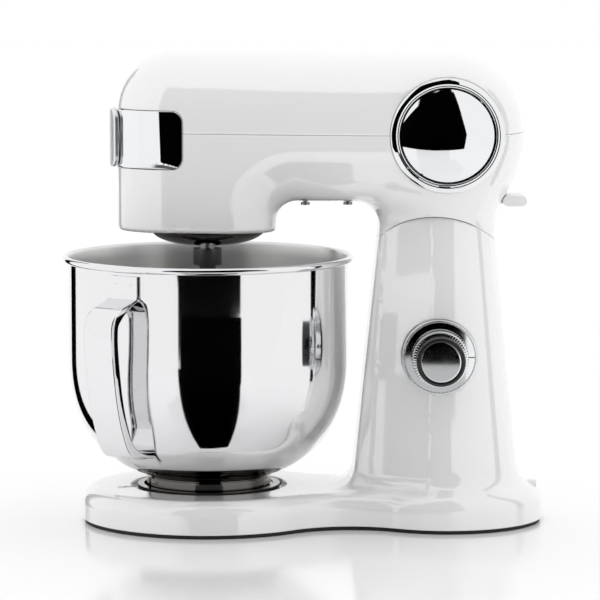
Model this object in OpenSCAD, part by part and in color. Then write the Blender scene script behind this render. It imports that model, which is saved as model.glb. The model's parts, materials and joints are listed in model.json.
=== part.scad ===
// Tilt-head planetary stand mixer with a steel bowl.
// Origin: on the worktop under the bowl's axis. +X towards the column, +Z up.
// The nose faces -X, and the speed dial is on the -Y side.

/* [Base] */
// Radius of the base under the bowl
bowl_lobe_r = 97; // [96:0.5:98]
// Radius of the base under the column
column_lobe_r = 75; // [74:0.5:76]
// Distance from the bowl's axis to the centre of the column's lobe
lobe_gap = 181; // [180:0.5:182]
// Half width of the base at its waist
waist_half = 55; // [54:0.5:56]
// Height of the base's top above the worktop
base_top = 27.5; // [27:0.1:28]
// Radius of the base's upper edge
base_edge_r = 12; // [10:0.5:13]
// Thickness of the cast and moulded walls
wall = 3; // [2.5:0.1:3.2]
// Height of the rubber foot that runs round under the base
foot_h = 3; // [2.8:0.1:3.2]

/* [Column] */
// Height at which the column's lower section is measured
column_z0 = 27.5; // [27:0.1:28]
// Rear edge of the column at the base
column_rear0 = 237.5; // [237:0.1:238]
// Rear edge of the column at its top
column_rear1 = 216.5; // [216:0.1:217]
// Front edge of the column at the base
column_front0 = 109.5; // [109:0.5:111]
// Front edge of the column at its top
column_front1 = 131.5; // [131:0.5:132]
// Half width of the column at the base
column_half0 = 61; // [60:0.5:62]
// Half width of the column at its top
column_half1 = 46; // [45:0.5:47]

/* [Tilt hinge] */
// Height of the tilt axis
tilt_z = 174; // [173.5:0.1:174.5]
// Distance of the tilt axis behind the bowl's axis
tilt_x = 172; // [171.5:0.1:172.5]
// Radius of the domed joint between column and neck
seam_r = 62.5; // [62:0.1:63]
// Radius of the hinge pin
hinge_pin_r = 6; // [5.5:0.1:6.5]

/* [Head] */
// Height of the mixer with its head down
mixer_h = 360; // [359:0.5:361]
// Radius of the nose, seen from above
nose_r = 45; // [44.5:0.1:45.5]
// Centre of the nose's curve
nose_x = -24; // [-24.5:0.1:-23.5]
// Radius of the drum at the head's rear
drum_r = 62; // [61.5:0.1:62.5]
// Centre of the drum along the machine
drum_x = 177; // [176.5:0.1:177.5]
// Height of the drum's centre, where the two shells meet
drum_z = 299; // [298.5:0.1:299.5]
// Half width of the head across the drum
drum_half = 68; // [67:0.5:68.5]
// Height of the flat under the planetary housing
housing_z = 224; // [223.8:0.1:224.2]
// Height of the arm's underside
arm_z = 247; // [246.5:0.1:247.5]

/* [Bowl] */
// Outer radius of the bowl's straight wall
bowl_r = 106.7; // [106:0.1:107]
// Height of the bowl's rolled rim
bowl_rim_z = 201.6; // [201:0.1:202]
// Height at which the bowl's wall starts to curve in
bowl_curve_z = 131; // [130:0.5:132]
// Depth of the bowl's curved lower part
bowl_curve_h = 100; // [99.5:0.1:100.5]
// Thickness of the bowl's steel
bowl_t = 1; // [0.8:0.1:1.2]
// Turn of the handle from straight sideways towards the nose
handle_turn = 34.3; // [30:0.1:38]

/* [Drive] */
// Gear module of the planetary set and of the reduction
gear_module = 1.25; // [1.25:0.01:1.26]
// Teeth of the fixed ring gear
ring_teeth = 60; // [60:1:60]
// Teeth of the planet pinion
planet_teeth = 20; // [20:1:20]
// Teeth of the main gear
main_teeth = 56; // [56:1:56]
// Teeth of the layshaft's pinion
pinion_teeth = 14; // [14:1:14]
// Pegs of the crown wheel that drives the accessory port
crown_pegs = 24; // [24:1:24]
// Teeth of the accessory port's pinion
port_teeth = 18; // [18:1:18]
// Running radius of the belt on the layshaft pulley
pulley_large_r = 27; // [27:0.1:27]
// Running radius of the belt on the motor pulley
pulley_small_r = 9; // [9:0.1:9]

/* [Controls] */
// Height of the speed dial's axis
dial_z = 131.8; // [131:0.1:132.5]
// Distance of the speed dial's axis behind the bowl's axis
dial_x = 175; // [174:0.1:176]
// Radius of the dial's chrome surround
dial_r = 28.2; // [28:0.1:28.5]
// Radius of the round plate on each side of the head
disc_r = 42.8; // [42.5:0.1:43]

/* [Hidden] */
$fn = 96;
eps = 0.01;
far = 400;

// ---------------------------------------------------------------- helpers

function mix(a, b, t) = a + (b - a) * t;

// A cylinder that lies along +Y, from y0 to y1
module along_y(x, z, r, y0, y1) {
    translate([x, y1, z]) rotate([90, 0, 0]) cylinder(r = r, h = y1 - y0);
}

// A cylinder that lies along +X, from x0 to x1
module along_x(y, z, r, x0, x1) {
    translate([x0, y, z]) rotate([0, 90, 0]) cylinder(r = r, h = x1 - x0);
}

module tube(r_out, r_in, h) {
    difference() {
        cylinder(r = r_out, h = h);
        translate([0, 0, -1]) cylinder(r = r_in, h = h + 2);
    }
}

module box(x0, x1, y0, y1, z0, z1) {
    translate([x0, y0, z0]) cube([x1 - x0, y1 - y0, z1 - z0]);
}

// ---------------------------------------------------------------- base

// The waist is a concave arc that runs smoothly into both round lobes
waist_k1 = (bowl_lobe_r - column_lobe_r) / lobe_gap;
waist_k0 = (lobe_gap * lobe_gap + bowl_lobe_r * bowl_lobe_r - column_lobe_r * column_lobe_r)
    / (2 * lobe_gap);
waist_b = 2 * waist_k0 * waist_k1 - 2 * (bowl_lobe_r - waist_half);
waist_c = waist_k0 * waist_k0 - bowl_lobe_r * bowl_lobe_r + waist_half * waist_half;
waist_r = (-waist_b - sqrt(waist_b * waist_b - 4 * waist_k1 * waist_k1 * waist_c))
    / (2 * waist_k1 * waist_k1);
waist_x = waist_k0 + waist_k1 * waist_r;
waist_y = waist_half + waist_r;

// Directions in which the lobes' centres see the waist's centre
bowl_side_angle = atan2(waist_y, waist_x);
column_side_angle = atan2(waist_y, waist_x - lobe_gap);

function arc_points(x, y, r, a0, a1, n) = [
    for (i = [0:n - 1]) let (a = mix(a0, a1, i / n)) [x + r * cos(a), y + r * sin(a)]
];

// The base's plan as points, drawn in by inset
function base_outline(inset) = concat(
    arc_points(lobe_gap, 0, column_lobe_r - inset, -column_side_angle, column_side_angle,
        column_arc_steps),
    arc_points(waist_x, waist_y, waist_r + inset, column_side_angle - 180, bowl_side_angle - 180, 12),
    arc_points(0, 0, bowl_lobe_r - inset, bowl_side_angle, 360 - bowl_side_angle, 40),
    arc_points(waist_x, -waist_y, waist_r + inset, 180 - bowl_side_angle, 180 - column_side_angle, 12)
);

// The same plan as a flat shape
module base_plan(inset) {
    polygon(base_outline(inset));
}

// Each point of the outline has a mirror image on the other side of the X axis
column_arc_steps = 32;
function twin(i, n) = (column_arc_steps - i + n) % n;
function cap_faces(n) =
    let (first = column_arc_steps / 2, half = n / 2)
    concat(
        [for (i = [first:first + half - 2]) [i, i + 1, twin(i + 1, n)]],
        [for (i = [first + 1:first + half - 1]) [i, twin(i + 1, n), twin(i, n)]]
    );

edge_steps = 6;
// The base as a block from z0 to z1 whose upper edge is rounded
module base_block(inset, z0, z1, edge) {
    rings = concat(
        [[inset, z0]],
        [for (i = [0:edge_steps]) let (a = 90 * i / edge_steps)
            [inset + edge * (1 - cos(a)), z1 - edge + edge * sin(a)]]
    );
    points = [for (ring = rings) for (p = base_outline(ring[0])) [p[0], p[1], ring[1]]];
    n = len(base_outline(0));
    m = len(rings);
    top = (m - 1) * n;
    polyhedron(
        points = points,
        faces = concat(
            cap_faces(n),
            [for (f = cap_faces(n)) [top + f[0], top + f[2], top + f[1]]],
            [for (k = [0:m - 2], i = [0:n - 1]) [k * n + i, (k + 1) * n + i, k * n + (i + 1) % n]],
            [for (k = [0:m - 2], i = [0:n - 1])
                [(k + 1) * n + i, (k + 1) * n + (i + 1) % n, k * n + (i + 1) % n]]
        )
    );
}

seat_r = 54.5;
gland_z = 25;
base_screw_at = [[-70, 0], [40, 62], [40, -62], [125, 30], [125, -30], [232, 22], [232, -22]];
base_cover_t = 2;
screw_boss_r = 4.5;

module base_shell() {
    color("white") difference() {
        union() {
            difference() {
                base_block(0, foot_h, base_top, base_edge_r);
                base_block(wall, foot_h - 1, base_top - wall, base_edge_r - wall);
            }
            for (p = base_screw_at) {
                translate([p[0], p[1], foot_h + base_cover_t])
                    cylinder(r = screw_boss_r, h = base_top - foot_h - base_cover_t - 1);
            }
        }
        for (p = base_screw_at) {
            translate([p[0], p[1], 0]) cylinder(r = 1.6, h = 18);
        }
        cylinder(r = seat_r + 0.2, h = far);
        // ways into the column for the pedestal's feet and the wires
        translate([lobe_gap, 0, 0]) cylinder(r = 20, h = far);
        along_x(0, gland_z, 5.7, 225, far);
    }
}

module base_cover() {
    color("dimgray") difference() {
        translate([0, 0, foot_h]) linear_extrude(base_cover_t) base_plan(wall + 0.3);
        for (p = base_screw_at) {
            translate([p[0], p[1], 0]) cylinder(r = 2, h = 18);
        }
    }
}

// Continuous rubber foot, the face the mixer stands on
foot_inset = 2;
foot_w = 7;
module foot_gasket() {
    color("black") linear_extrude(foot_h) difference() {
        base_plan(foot_inset);
        base_plan(foot_inset + foot_w);
    }
}

module base_screws() {
    color("silver") for (p = base_screw_at) {
        translate([p[0], p[1], foot_h - 1.6]) cylinder(r = 3.2, h = 1.6);
        translate([p[0], p[1], foot_h]) cylinder(r = 1.6, h = 12);
    }
}

// Recess that the bowl's foot drops into and locks under three tabs
seat_floor_z = 19;
seat_recess_r = 49.6;
seat_tab_z = 25.4;
seat_tab_h = 2;
lock_tabs = 3;
tab_angle = 34;

module sector(r_in, r_out, angle, h) {
    rotate([0, 0, -angle / 2]) rotate_extrude(angle = angle)
        translate([r_in, 0]) square([r_out - r_in, h]);
}

module bowl_seat() {
    color("dimgray") {
        translate([0, 0, seat_floor_z]) {
            cylinder(r = seat_r, h = 2);
            tube(seat_r, seat_recess_r, base_top + 0.9 - seat_floor_z);
            // flange that holds the seat against the underside of the base's top
            translate([0, 0, 3]) tube(seat_r + 5, seat_r - 1, base_top - wall - 3 - seat_floor_z);
        }
        for (i = [0:lock_tabs - 1]) {
            rotate([0, 0, i * 360 / lock_tabs]) translate([0, 0, seat_tab_z])
                sector(46.4, seat_recess_r + 1, tab_angle, seat_tab_h);
        }
    }
}

// Small raised arrow beside the recess that shows which way the bowl locks
marker_x = -62;
module lock_marker() {
    color("gainsboro") translate([marker_x, -16, base_top]) rotate([0, 0, 20])
        linear_extrude(0.6) {
            square([9, 1.6], center = true);
            polygon([[-7.5, 0], [-3.5, 2.6], [-3.5, -2.6]]);
        }
}

gland_x0 = 238.2;
gland_x1 = 251;
gland_r = 5.5;
cord_hole_r = 3.6;
module cord_gland() {
    color("dimgray") difference() {
        along_x(0, gland_z, gland_r, gland_x0, gland_x1);
        along_x(0, gland_z, cord_hole_r, gland_x0 - 1, gland_x1 + 1);
    }
}

// ---------------------------------------------------------------- column

column_z1 = 240;
column_corner_r = 8;
column_nose_half0 = 34;
column_nose_half1 = 30;
// Where the column's round rear part starts, at the base and at its top
column_crease0 = 130.5;
column_crease1 = 144;

// One thin slice of the column at height z, drawn in by inset
module column_slice(z, inset) {
    t = (z - column_z0) / (column_z1 - column_z0);
    rear = mix(column_rear0, column_rear1, t);
    front = mix(column_front0, column_front1, t);
    crease = mix(column_crease0, column_crease1, t);
    half = mix(column_half0, column_half1, t);
    nose_half = mix(column_nose_half0, column_nose_half1, t);
    translate([(rear + crease) / 2, 0, z])
        scale([(rear - crease) / 2 - inset, half - inset, 1]) cylinder(r = 1, h = eps, $fn = 64);
    for (side = [-1, 1]) {
        translate([front + column_corner_r, side * (nose_half - column_corner_r), z])
            cylinder(r = column_corner_r - inset, h = eps, $fn = 32);
    }
}

module column_body(inset, z0, z1) {
    hull() {
        column_slice(z0, inset);
        column_slice(z1, inset);
    }
}

// Everything below the domed joint
module below_dome(r) {
    along_y(tilt_x, tilt_z, r, -far / 2, far / 2);
    box(0, far, -far / 2, far / 2, -far, tilt_z + 20);
}

column_foot_z = base_top;
column_block_z = 245;
dial_seat_r = dial_r + 0.2;
module column_shell() {
    color("white") difference() {
        intersection() {
            difference() {
                column_body(0, column_foot_z, column_block_z);
                column_body(wall, column_foot_z - 1, column_block_z + 1);
            }
            below_dome(seam_r);
        }
        along_y(dial_x, dial_z, dial_seat_r, -far / 2, 0);
    }
}

// Half width of the slot that the hinge arm swings in
arm_half = 13;
arm_slot_half = arm_half + 2;
cap_r = seam_r - 3.5;

module column_cap() {
    color("dimgray") difference() {
        intersection() {
            difference() {
                along_y(tilt_x, tilt_z, cap_r, -far / 2, far / 2);
                along_y(tilt_x, tilt_z, cap_r - 2.5, -far / 2, far / 2);
            }
            column_body(wall + 0.3, 180, column_block_z);
            box(0, far, -far / 2, far / 2, tilt_z + 33, far);
        }
        box(137.6, 225, -arm_slot_half, arm_slot_half, 180, far);
    }
}

pedestal_foot_z = base_top;
pedestal_foot_t = 4;
ear_y0 = arm_half + 0.6;
ear_t = 4;
module hinge_pedestal() {
    color("silver") difference() {
        union() {
            difference() {
                box(138, 216, -34, 34, pedestal_foot_z, pedestal_foot_z + pedestal_foot_t);
                translate([lobe_gap, 0, 0]) cylinder(r = 11, h = far);
            }
            for (side = [-1, 1]) {
                y0 = side > 0 ? ear_y0 : -ear_y0 - ear_t;
                box(152, 192, y0, y0 + ear_t, pedestal_foot_z + pedestal_foot_t - eps, tilt_z);
                along_y(tilt_x, tilt_z, 20, y0, y0 + ear_t);
            }
            // web that ties the two ears together below the swinging arm
            box(152, 158, -ear_y0 - eps, ear_y0 + eps, 60, 130);
        }
        along_y(tilt_x, tilt_z, hinge_pin_r, -50, 50);
    }
}

module hinge_pin() {
    color("silver") {
        along_y(tilt_x, tilt_z, hinge_pin_r, -ear_y0 - ear_t - 3, ear_y0 + ear_t);
        along_y(tilt_x, tilt_z, hinge_pin_r + 2.5, -ear_y0 - ear_t - 3, -ear_y0 - ear_t);
    }
}

// Staple on the column's cap that the head's latch catches
strike_angle = 60;
strike_r = cap_r + 6;
strike_y = 21;
module latch_strike() {
    color("silver") translate([tilt_x, 0, tilt_z]) rotate([0, 90 - strike_angle, 0]) {
        for (side = [-1, 1]) {
            translate([0, strike_y + side * 4.5, cap_r]) cylinder(r = 1.5, h = strike_r - cap_r);
        }
        along_y(0, strike_r, 1.5, strike_y - 6, strike_y + 6);
    }
}

// ---------------------------------------------------------------- speed dial

// The surround sits in a hole in the column's curved side
dial_back_y = -45;
dial_plate_y = -57.5;
dial_bore_r = 11.5;

module dial_surround() {
    color("silver") translate([dial_x, 0, dial_z]) rotate([90, 0, 0]) difference() {
        rotate_extrude() {
            translate([dial_bore_r, -dial_back_y])
                square([dial_r - dial_bore_r, dial_back_y - dial_plate_y - 2]);
            translate([dial_bore_r, -dial_plate_y - 3]) square([dial_r - 2 - dial_bore_r, 3]);
            translate([dial_r - 2, -dial_plate_y - 2]) circle(2, $fn = 48);
        }
        // index line at the right-hand side
        box(dial_r - 5, dial_r - 1.6, -0.35, 0.35, -dial_plate_y - 0.4, -dial_plate_y + 1);
    }
}

switch_y = -24;
spindle_r = 3;
module speed_switch() {
    color("dimgray") difference() {
        union() {
            along_y(dial_x, dial_z, 11, -44, switch_y);
            along_y(dial_x, dial_z, 5, -52, -44);
        }
        along_y(dial_x, dial_z, spindle_r + 0.05, -60, switch_y - 4);
    }
}

module dial_spindle() {
    color("silver") along_y(dial_x, dial_z, spindle_r, dial_plate_y - 20, switch_y - 5);
}

module control_board() {
    color("darkgreen") box(150, 212, -34, -32.4, 60, 116);
    color("black") {
        box(158, 176, -32.4, -24, 66, 84);
        box(184, 206, -32.4, -21, 90, 112);
    }
}

grip_r = 21.3;
grip_in_r = 16;
grip_h = 12;
knob_r = 18.3;
knob_h = 18;
grip_ribs = 60;
// Everything on the dial turns about the dial's axis and starts just clear of the surround
module on_dial(z) {
    translate([dial_x, dial_plate_y - 0.4 - z, dial_z]) rotate([90, 0, 0]) children();
}

module dial_grip() {
    color("silver") on_dial(0) linear_extrude(grip_h) difference() {
        circle(grip_r);
        circle(grip_in_r);
        for (i = [0:grip_ribs - 1]) {
            rotate(i * 360 / grip_ribs) translate([grip_r, 0]) square(1, center = true);
        }
    }
}

module dial_knob() {
    color("dimgray") difference() {
        union() {
            on_dial(0) cylinder(r = grip_in_r, h = grip_h);
            on_dial(grip_h) cylinder(r = knob_r, h = knob_h);
        }
        along_y(dial_x, dial_z, spindle_r, dial_plate_y - 20, 0);
        on_dial(grip_h + knob_h - 2) cylinder(r = knob_r - 2.6, h = 4);
    }
}

module dial_face() {
    color("silver") difference() {
        on_dial(grip_h + knob_h - 2) cylinder(r = knob_r - 2.8, h = 1.6);
        on_dial(grip_h + knob_h - 1) translate([0, knob_r - 6, 0]) cylinder(r = 0.8, h = 2);
    }
}

// ---------------------------------------------------------------- head shells

nose_top_z = 314;
head_floor_z = 195;
section_steps = 22;
// How square the head's rear corners are, seen from above: 2 is round
drum_power = 3;

// Half width of the head at x, without its wall
function head_half(x, inset) =
    x < nose_x ? sqrt(max(0, pow(nose_r - inset, 2) - pow(x - nose_x, 2)))
    : x < drum_x ? nose_r - inset
        + (drum_half - nose_r) * sin(90 * (x - nose_x) / (drum_x - nose_x))
    : (drum_half - inset) * pow(max(0, 1 - pow((x - drum_x) / (drum_r - inset), drum_power)), 1 / drum_power);

// Height of the line where the straight side turns into the crown
function spring_z(x) = mix(nose_top_z, drum_z, min(1, max(0, (x - nose_x) / (drum_x - nose_x))));

function head_rise(x, inset) =
    x < nose_x ? sqrt(max(0, pow(mixer_h - nose_top_z - inset, 2)
        - pow((x - nose_x) * (mixer_h - nose_top_z) / nose_r, 2)))
    : x < drum_x ? mixer_h - inset - spring_z(x)
    : sqrt(max(0, pow(drum_r - inset, 2) - pow(x - drum_x, 2))) * (mixer_h - drum_z - inset)
        / (drum_r - inset);

function crown_power(x) = mix(2, 2.5, min(1, max(0, (x - nose_x) / (drum_x - nose_x))));

// Below the side the head narrows to this share of its width, except round the nose housing
side_low_z = 270;
side_foot_z = 244;
foot_wide_x = 40;
foot_slim_x = 75;
foot_slim = 0.66;
function foot_share(x) = x < foot_wide_x ? 1
    : x < foot_slim_x ? mix(1, foot_slim, (x - foot_wide_x) / (foot_slim_x - foot_wide_x)) : foot_slim;

// One ring of points across the head at x
function head_ring(x, inset) = [
    for (i = [0:section_steps])
        let (a = 180 * i / section_steps, p = 2 / crown_power(x), h = head_half(x, inset))
        [x, sign(cos(a)) * h * pow(abs(cos(a)), p), spring_z(x) + head_rise(x, inset) * pow(sin(a), p)],
    for (p = [[-1, side_low_z, 1], [-1, side_foot_z, 0], [-1, head_floor_z, 0],
              [1, head_floor_z, 0], [1, side_foot_z, 0], [1, side_low_z, 1]])
        [x, p[0] * head_half(x, inset) * (p[2] == 1 ? 1 : foot_share(x)), p[1]]
];

function head_stations(inset) = concat(
    [for (a = [8:9.1:90]) nose_x - (nose_r - inset) * cos(a)],
    [for (i = [0:7]) mix(nose_x, drum_x, i / 8)],
    [for (a = [0:9:81]) drum_x + (drum_r - inset) * sin(a)]
);

module head_body(inset) {
    stations = head_stations(inset);
    rings = [for (x = stations) each head_ring(x, inset)];
    n = section_steps + 7;
    m = len(stations);
    polyhedron(
        points = rings,
        faces = concat(
            [[for (i = [0:n - 1]) i]],
            [[for (i = [n - 1:-1:0]) (m - 1) * n + i]],
            [for (k = [0:m - 2], i = [0:n - 1]) [k * n + i, (k + 1) * n + i, k * n + (i + 1) % n]],
            [for (k = [0:m - 2], i = [0:n - 1])
                [(k + 1) * n + i, (k + 1) * n + (i + 1) % n, k * n + (i + 1) % n]]
        )
    );
}

housing_rear_x = 52;
neck_front_x = 133;
housing_blend_r = 16;
neck_blend_r = 20;

// The head seen from the side: nose housing, arm, neck and drum, drawn in by w
module head_profile(w) {
    translate([nose_x - nose_r - 1, arm_z + w])
        square([drum_x - nose_x + nose_r + 1, mixer_h + 1 - arm_z - w]);
    translate([drum_x, drum_z]) circle(drum_r - w);
    translate([nose_x - nose_r - 1, housing_z + w])
        square([housing_rear_x - w - nose_x + nose_r + 1, arm_z - housing_z + 1]);
    // concave curves from the housing to the arm and from the arm to the neck
    difference() {
        translate([housing_rear_x - w - 1, arm_z + w - housing_blend_r - w])
            square([housing_blend_r + w + 1, housing_blend_r + w + 1]);
        translate([housing_rear_x - w + housing_blend_r + w, arm_z - housing_blend_r])
            circle(housing_blend_r + w);
    }
    difference() {
        translate([neck_front_x - neck_blend_r, arm_z - neck_blend_r])
            square([neck_blend_r + w + 12, neck_blend_r + w + 1]);
        translate([neck_front_x - neck_blend_r, arm_z - neck_blend_r]) circle(neck_blend_r + w);
    }
}

// The neck widens from the column's own section to the drum
neck_z0 = 205;
neck_wide_z = 277;
neck_long_half = 50;
neck_wide_half = 58;
module neck(w) {
    hull() {
        column_slice(neck_z0, w - 0.6);
        column_slice(228, w - 1.2);
        translate([drum_x, 0, neck_wide_z])
            scale([neck_long_half - w, neck_wide_half - w, 1]) cylinder(r = 1, h = eps, $fn = 64);
    }
}

module head_solid(w) {
    intersection() {
        head_body(w);
        translate([0, far / 2, 0]) rotate([90, 0, 0]) linear_extrude(far) head_profile(w);
    }
    neck(w);
}

band_x = -18;
band_z0 = 272;
band_z1 = 316;
band_corner_r = 9;
port_z = 294;
joint_gap = 0.3;

// The chrome band's outline seen from the side, grown by grow
module band_window(grow) {
    translate([0, far / 2, 0]) rotate([90, 0, 0]) linear_extrude(far) {
        translate([-100, band_z0 - grow])
            square([band_x - band_corner_r + 100, band_z1 - band_z0 + 2 * grow]);
        translate([-100, band_z0 + band_corner_r])
            square([band_x + grow + 100, band_z1 - band_z0 - 2 * band_corner_r]);
        for (z = [band_z0 + band_corner_r, band_z1 - band_corner_r]) {
            translate([band_x - band_corner_r, z]) circle(band_corner_r + grow);
        }
    }
}

dome_r = 44;
housing_hole_r = 44.6;
head_screw_at = [[74, 36], [74, -36], [106, 34], [106, -34]];
lever_z = 246;
lever_x = 209;

// The free-form wall of the head, joined into one skin of flat facets
module head_skin() {
    resize([0, 0, 0]) difference() {
        head_solid(0);
        head_solid(wall);
    }
}

module head_shell() {
    difference() {
        head_skin();
        band_window(0.3);
        along_y(drum_x + 3, drum_z, disc_r + 0.3, -far / 2, -30);
        along_y(drum_x + 3, drum_z, disc_r + 0.3, 30, far / 2);
        along_y(tilt_x, tilt_z, seam_r + 0.8, -far / 2, far / 2);
    }
}

module head_top_shell() {
    color("white") difference() {
        head_shell();
        box(-far, far, -far, far, -far, drum_z + joint_gap);
    }
}

module head_lower_shell() {
    color("white") difference() {
        head_shell();
        box(-far, far, -far, far, drum_z - joint_gap, far);
        translate([0, 0, housing_z - 5]) cylinder(r = housing_hole_r, h = 10);
        // slot for the release lever
        box(210, 240, -9.5, 9.5, lever_z - 7, lever_z + 5);
        for (p = head_screw_at) {
            translate([p[0], p[1], arm_z - 5]) cylinder(r = 1.9, h = 12);
        }
    }
}

module head_screws() {
    color("silver") for (p = head_screw_at) {
        translate([p[0], p[1], arm_z - 1.8]) cylinder(r = 3.4, h = 1.8);
        translate([p[0], p[1], arm_z]) cylinder(r = 1.7, h = 12);
    }
}

module nose_band() {
    color("silver") difference() {
        intersection() {
            translate([nose_x, 0, band_z0 - 5])
                tube(nose_r + 1, nose_r - wall, band_z1 - band_z0 + 10);
            band_window(0);
        }
        along_x(0, port_z, 19.4, -far, 0);
    }
}

// Plate that stands in front of the band and covers the accessory port
cover_half = 21;
cover_out_r = nose_r + 5.6;
cover_in_r = nose_r + 1.5;
module port_cover() {
    color("silver") intersection() {
        translate([nose_x, 0, band_z0]) tube(cover_out_r, cover_in_r, band_z1 - band_z0);
        box(-100, -40, -cover_half, cover_half, band_z0, band_z1);
    }
}

// Round plate on the head's side: a rounded chrome ring and a mirrored dome
disc_y0 = 55;
disc_y1 = 69.5;
ring_w = 7.2;
module disc_ring(side) {
    color("silver") translate([drum_x + 3, 0, drum_z]) rotate([-90 * side, 0, 0]) rotate_extrude() {
        translate([disc_r - ring_w, disc_y0]) square([ring_w, disc_y1 - disc_y0 - ring_w / 2]);
        translate([disc_r - ring_w / 2, disc_y1 - ring_w / 2]) circle(ring_w / 2, $fn = 48);
    }
}

plate_r = disc_r - ring_w - 0.3;
// How far the mirrored dome rises from its rim, and how far its rim lies below the ring's crest
plate_bulge = 8.5;
plate_sunk = 2.2;
plate_sphere_r = (plate_r * plate_r + plate_bulge * plate_bulge) / (2 * plate_bulge);
module disc_plate(side) {
    color("silver") translate([drum_x + 3, 0, drum_z]) rotate([-90 * side, 0, 0])
        translate([0, 0, disc_y0]) intersection() {
            cylinder(r = plate_r, h = 40);
            translate([0, 0, disc_y1 - disc_y0 - plate_sunk + plate_bulge - plate_sphere_r])
                sphere(plate_sphere_r, $fn = 128);
        }
}

module disc_ring_left() { disc_ring(1); }
module disc_ring_right() { disc_ring(-1); }
module disc_plate_left() { disc_plate(1); }
module disc_plate_right() { disc_plate(-1); }

// ---------------------------------------------------------------- gear case and drive

case_r = 45.4;
ring_outer_r = 42.6;
case_z0 = housing_z + wall;
case_top = 249;
case_plate_t = 4;
// Underside of the beam that runs back from the gear case to the hinge arm
beam_z0 = case_top + 1.4;
beam_x1 = 199;
lug_y = 23.8;
ring_z0 = 229;
ring_h = 9;
layshaft_x = gear_module * (main_teeth + pinion_teeth) / 2;
main_gear_z = 262;
main_gear_h = 8;
bridge_z = 306;
bridge_t = 4;
post_at = [[0, 40.5], [0, -40.5], [66, 24], [66, -24]];
motor_x = 165;
main_shaft_r = 7;
lay_shaft_r = 5;
bearing_out_r = 13;
planet_y = -gear_module * (ring_teeth - planet_teeth) / 2;

module gear_case() {
    color("gray") difference() {
        union() {
            translate([0, 0, case_z0]) cylinder(r = case_r, h = case_top + case_plate_t - case_z0);
            box(0, beam_x1, -26, 26, beam_z0, case_top + case_plate_t);
            // two lugs that carry the lever's pin
            for (y = [-lug_y - 2.2, lug_y]) {
                box(beam_x1 - 4, 214, y, y + 2.2, lever_z - 5, case_top + case_plate_t);
            }
        }
        along_y(lever_x, lever_z, lever_pin_r, -40, 40);
        translate([0, 0, case_z0 - 1]) cylinder(r = ring_outer_r, h = case_top - case_z0 + 1);
        translate([0, 0, case_top - 1]) cylinder(r = bearing_out_r, h = case_plate_t + 2);
        translate([layshaft_x, 0, case_top - 1]) cylinder(r = lay_shaft_r + 4, h = case_plate_t + 2);
        translate([motor_x, 0, case_top - 1]) cylinder(r = 9, h = case_plate_t + 2);
        translate([194, 0, case_top - 1]) cylinder(r = 6, h = case_plate_t + 2);
    }
}

module bearing_bridge() {
    color("gray") {
        for (p = post_at) {
            translate([p[0], p[1], case_top + case_plate_t])
                cylinder(r = 3.2, h = bridge_z - case_top - case_plate_t);
        }
        difference() {
            union() {
                box(-16, 70, -16, 16, bridge_z, bridge_z + bridge_t);
                box(-6, 6, -44, 44, bridge_z, bridge_z + bridge_t);
                box(60, 72, -28, 28, bridge_z, bridge_z + bridge_t);
            }
            translate([0, 0, bridge_z - 1]) cylinder(r = bearing_out_r, h = bridge_t + 2);
            translate([layshaft_x, 0, bridge_z - 1]) cylinder(r = lay_shaft_r + 4, h = bridge_t + 2);
        }
    }
}

module shaft_bearings() {
    color("lightgray") {
        for (z = [case_top, bridge_z]) {
            translate([0, 0, z]) tube(bearing_out_r, main_shaft_r + 0.05, case_plate_t);
            translate([layshaft_x, 0, z]) tube(lay_shaft_r + 4, lay_shaft_r + 0.05, case_plate_t);
        }
        translate([motor_x, 0, beam_z0]) tube(9, 4.05, case_top + case_plate_t - beam_z0);
    }
}

// Outline of a spur gear with straight-flanked teeth. The shares are of the tooth pitch
function gear_outline(n, m, addendum, dedendum, tip_share, root_share) = [
    for (i = [0:n - 1], k = [0:3])
        let (share = k == 0 || k == 3 ? root_share : tip_share,
            r = n * m / 2 + (k == 0 || k == 3 ? -dedendum : addendum),
            side = k < 2 ? -1 : 1,
            a = 360 / n * (i + side * share / 2))
        [r * cos(a), r * sin(a)]
];

tooth_add = 0.8 * gear_module;
tooth_ded = 1.15 * gear_module;
tip_share = 0.2;
root_share = 0.56;

module spur_gear(n, h, bore, phase) {
    linear_extrude(h) difference() {
        rotate(phase) polygon(gear_outline(n, gear_module, tooth_add, tooth_ded, tip_share, root_share));
        circle(bore);
    }
}

module ring_gear() {
    color("silver") translate([0, 0, ring_z0]) linear_extrude(ring_h) difference() {
        circle(ring_outer_r);
        rotate(180 / ring_teeth)
            polygon(gear_outline(ring_teeth, gear_module, tooth_ded, tooth_add, 0.44, 0.8));
    }
}

dome_top_z = 223.4;
dome_depth = 11.4;
dome_t = 1.6;
carrier_z0 = 218.5;
carrier_z1 = 226;
beater_shaft_r = 6;
module planet_carrier() {
    color("silver") difference() {
        union() {
            translate([0, 0, carrier_z0]) cylinder(r = 34, h = carrier_z1 - carrier_z0);
            translate([0, 0, dome_top_z - dome_depth + dome_t + 0.1]) cylinder(r = 8, h = 6);
        }
        translate([0, planet_y, carrier_z0 - 1]) cylinder(r = beater_shaft_r + 0.05, h = 20);
        translate([0, 0, carrier_z0 + 4]) cylinder(r = main_shaft_r, h = 20);
    }
}

dome_steps = 10;
// Height of the dome's outer face at radius r: a shallow bowl with a flat middle
function dome_z(r) = dome_top_z - dome_depth * pow(1 - pow(r / dome_r, 3), 1 / 1.6);
module drip_dome() {
    radii = [for (i = [0:dome_steps]) dome_r * sin(90 * i / dome_steps)];
    color("dimgray") difference() {
        rotate_extrude() polygon(concat(
            [for (r = radii) [r, dome_z(r)]],
            [for (i = [dome_steps:-1:0]) [radii[i] * (1 - dome_t / dome_r), dome_z(radii[i]) + dome_t]]
        ));
        translate([0, planet_y, 200]) cylinder(r = 9, h = 30);
    }
}

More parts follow.
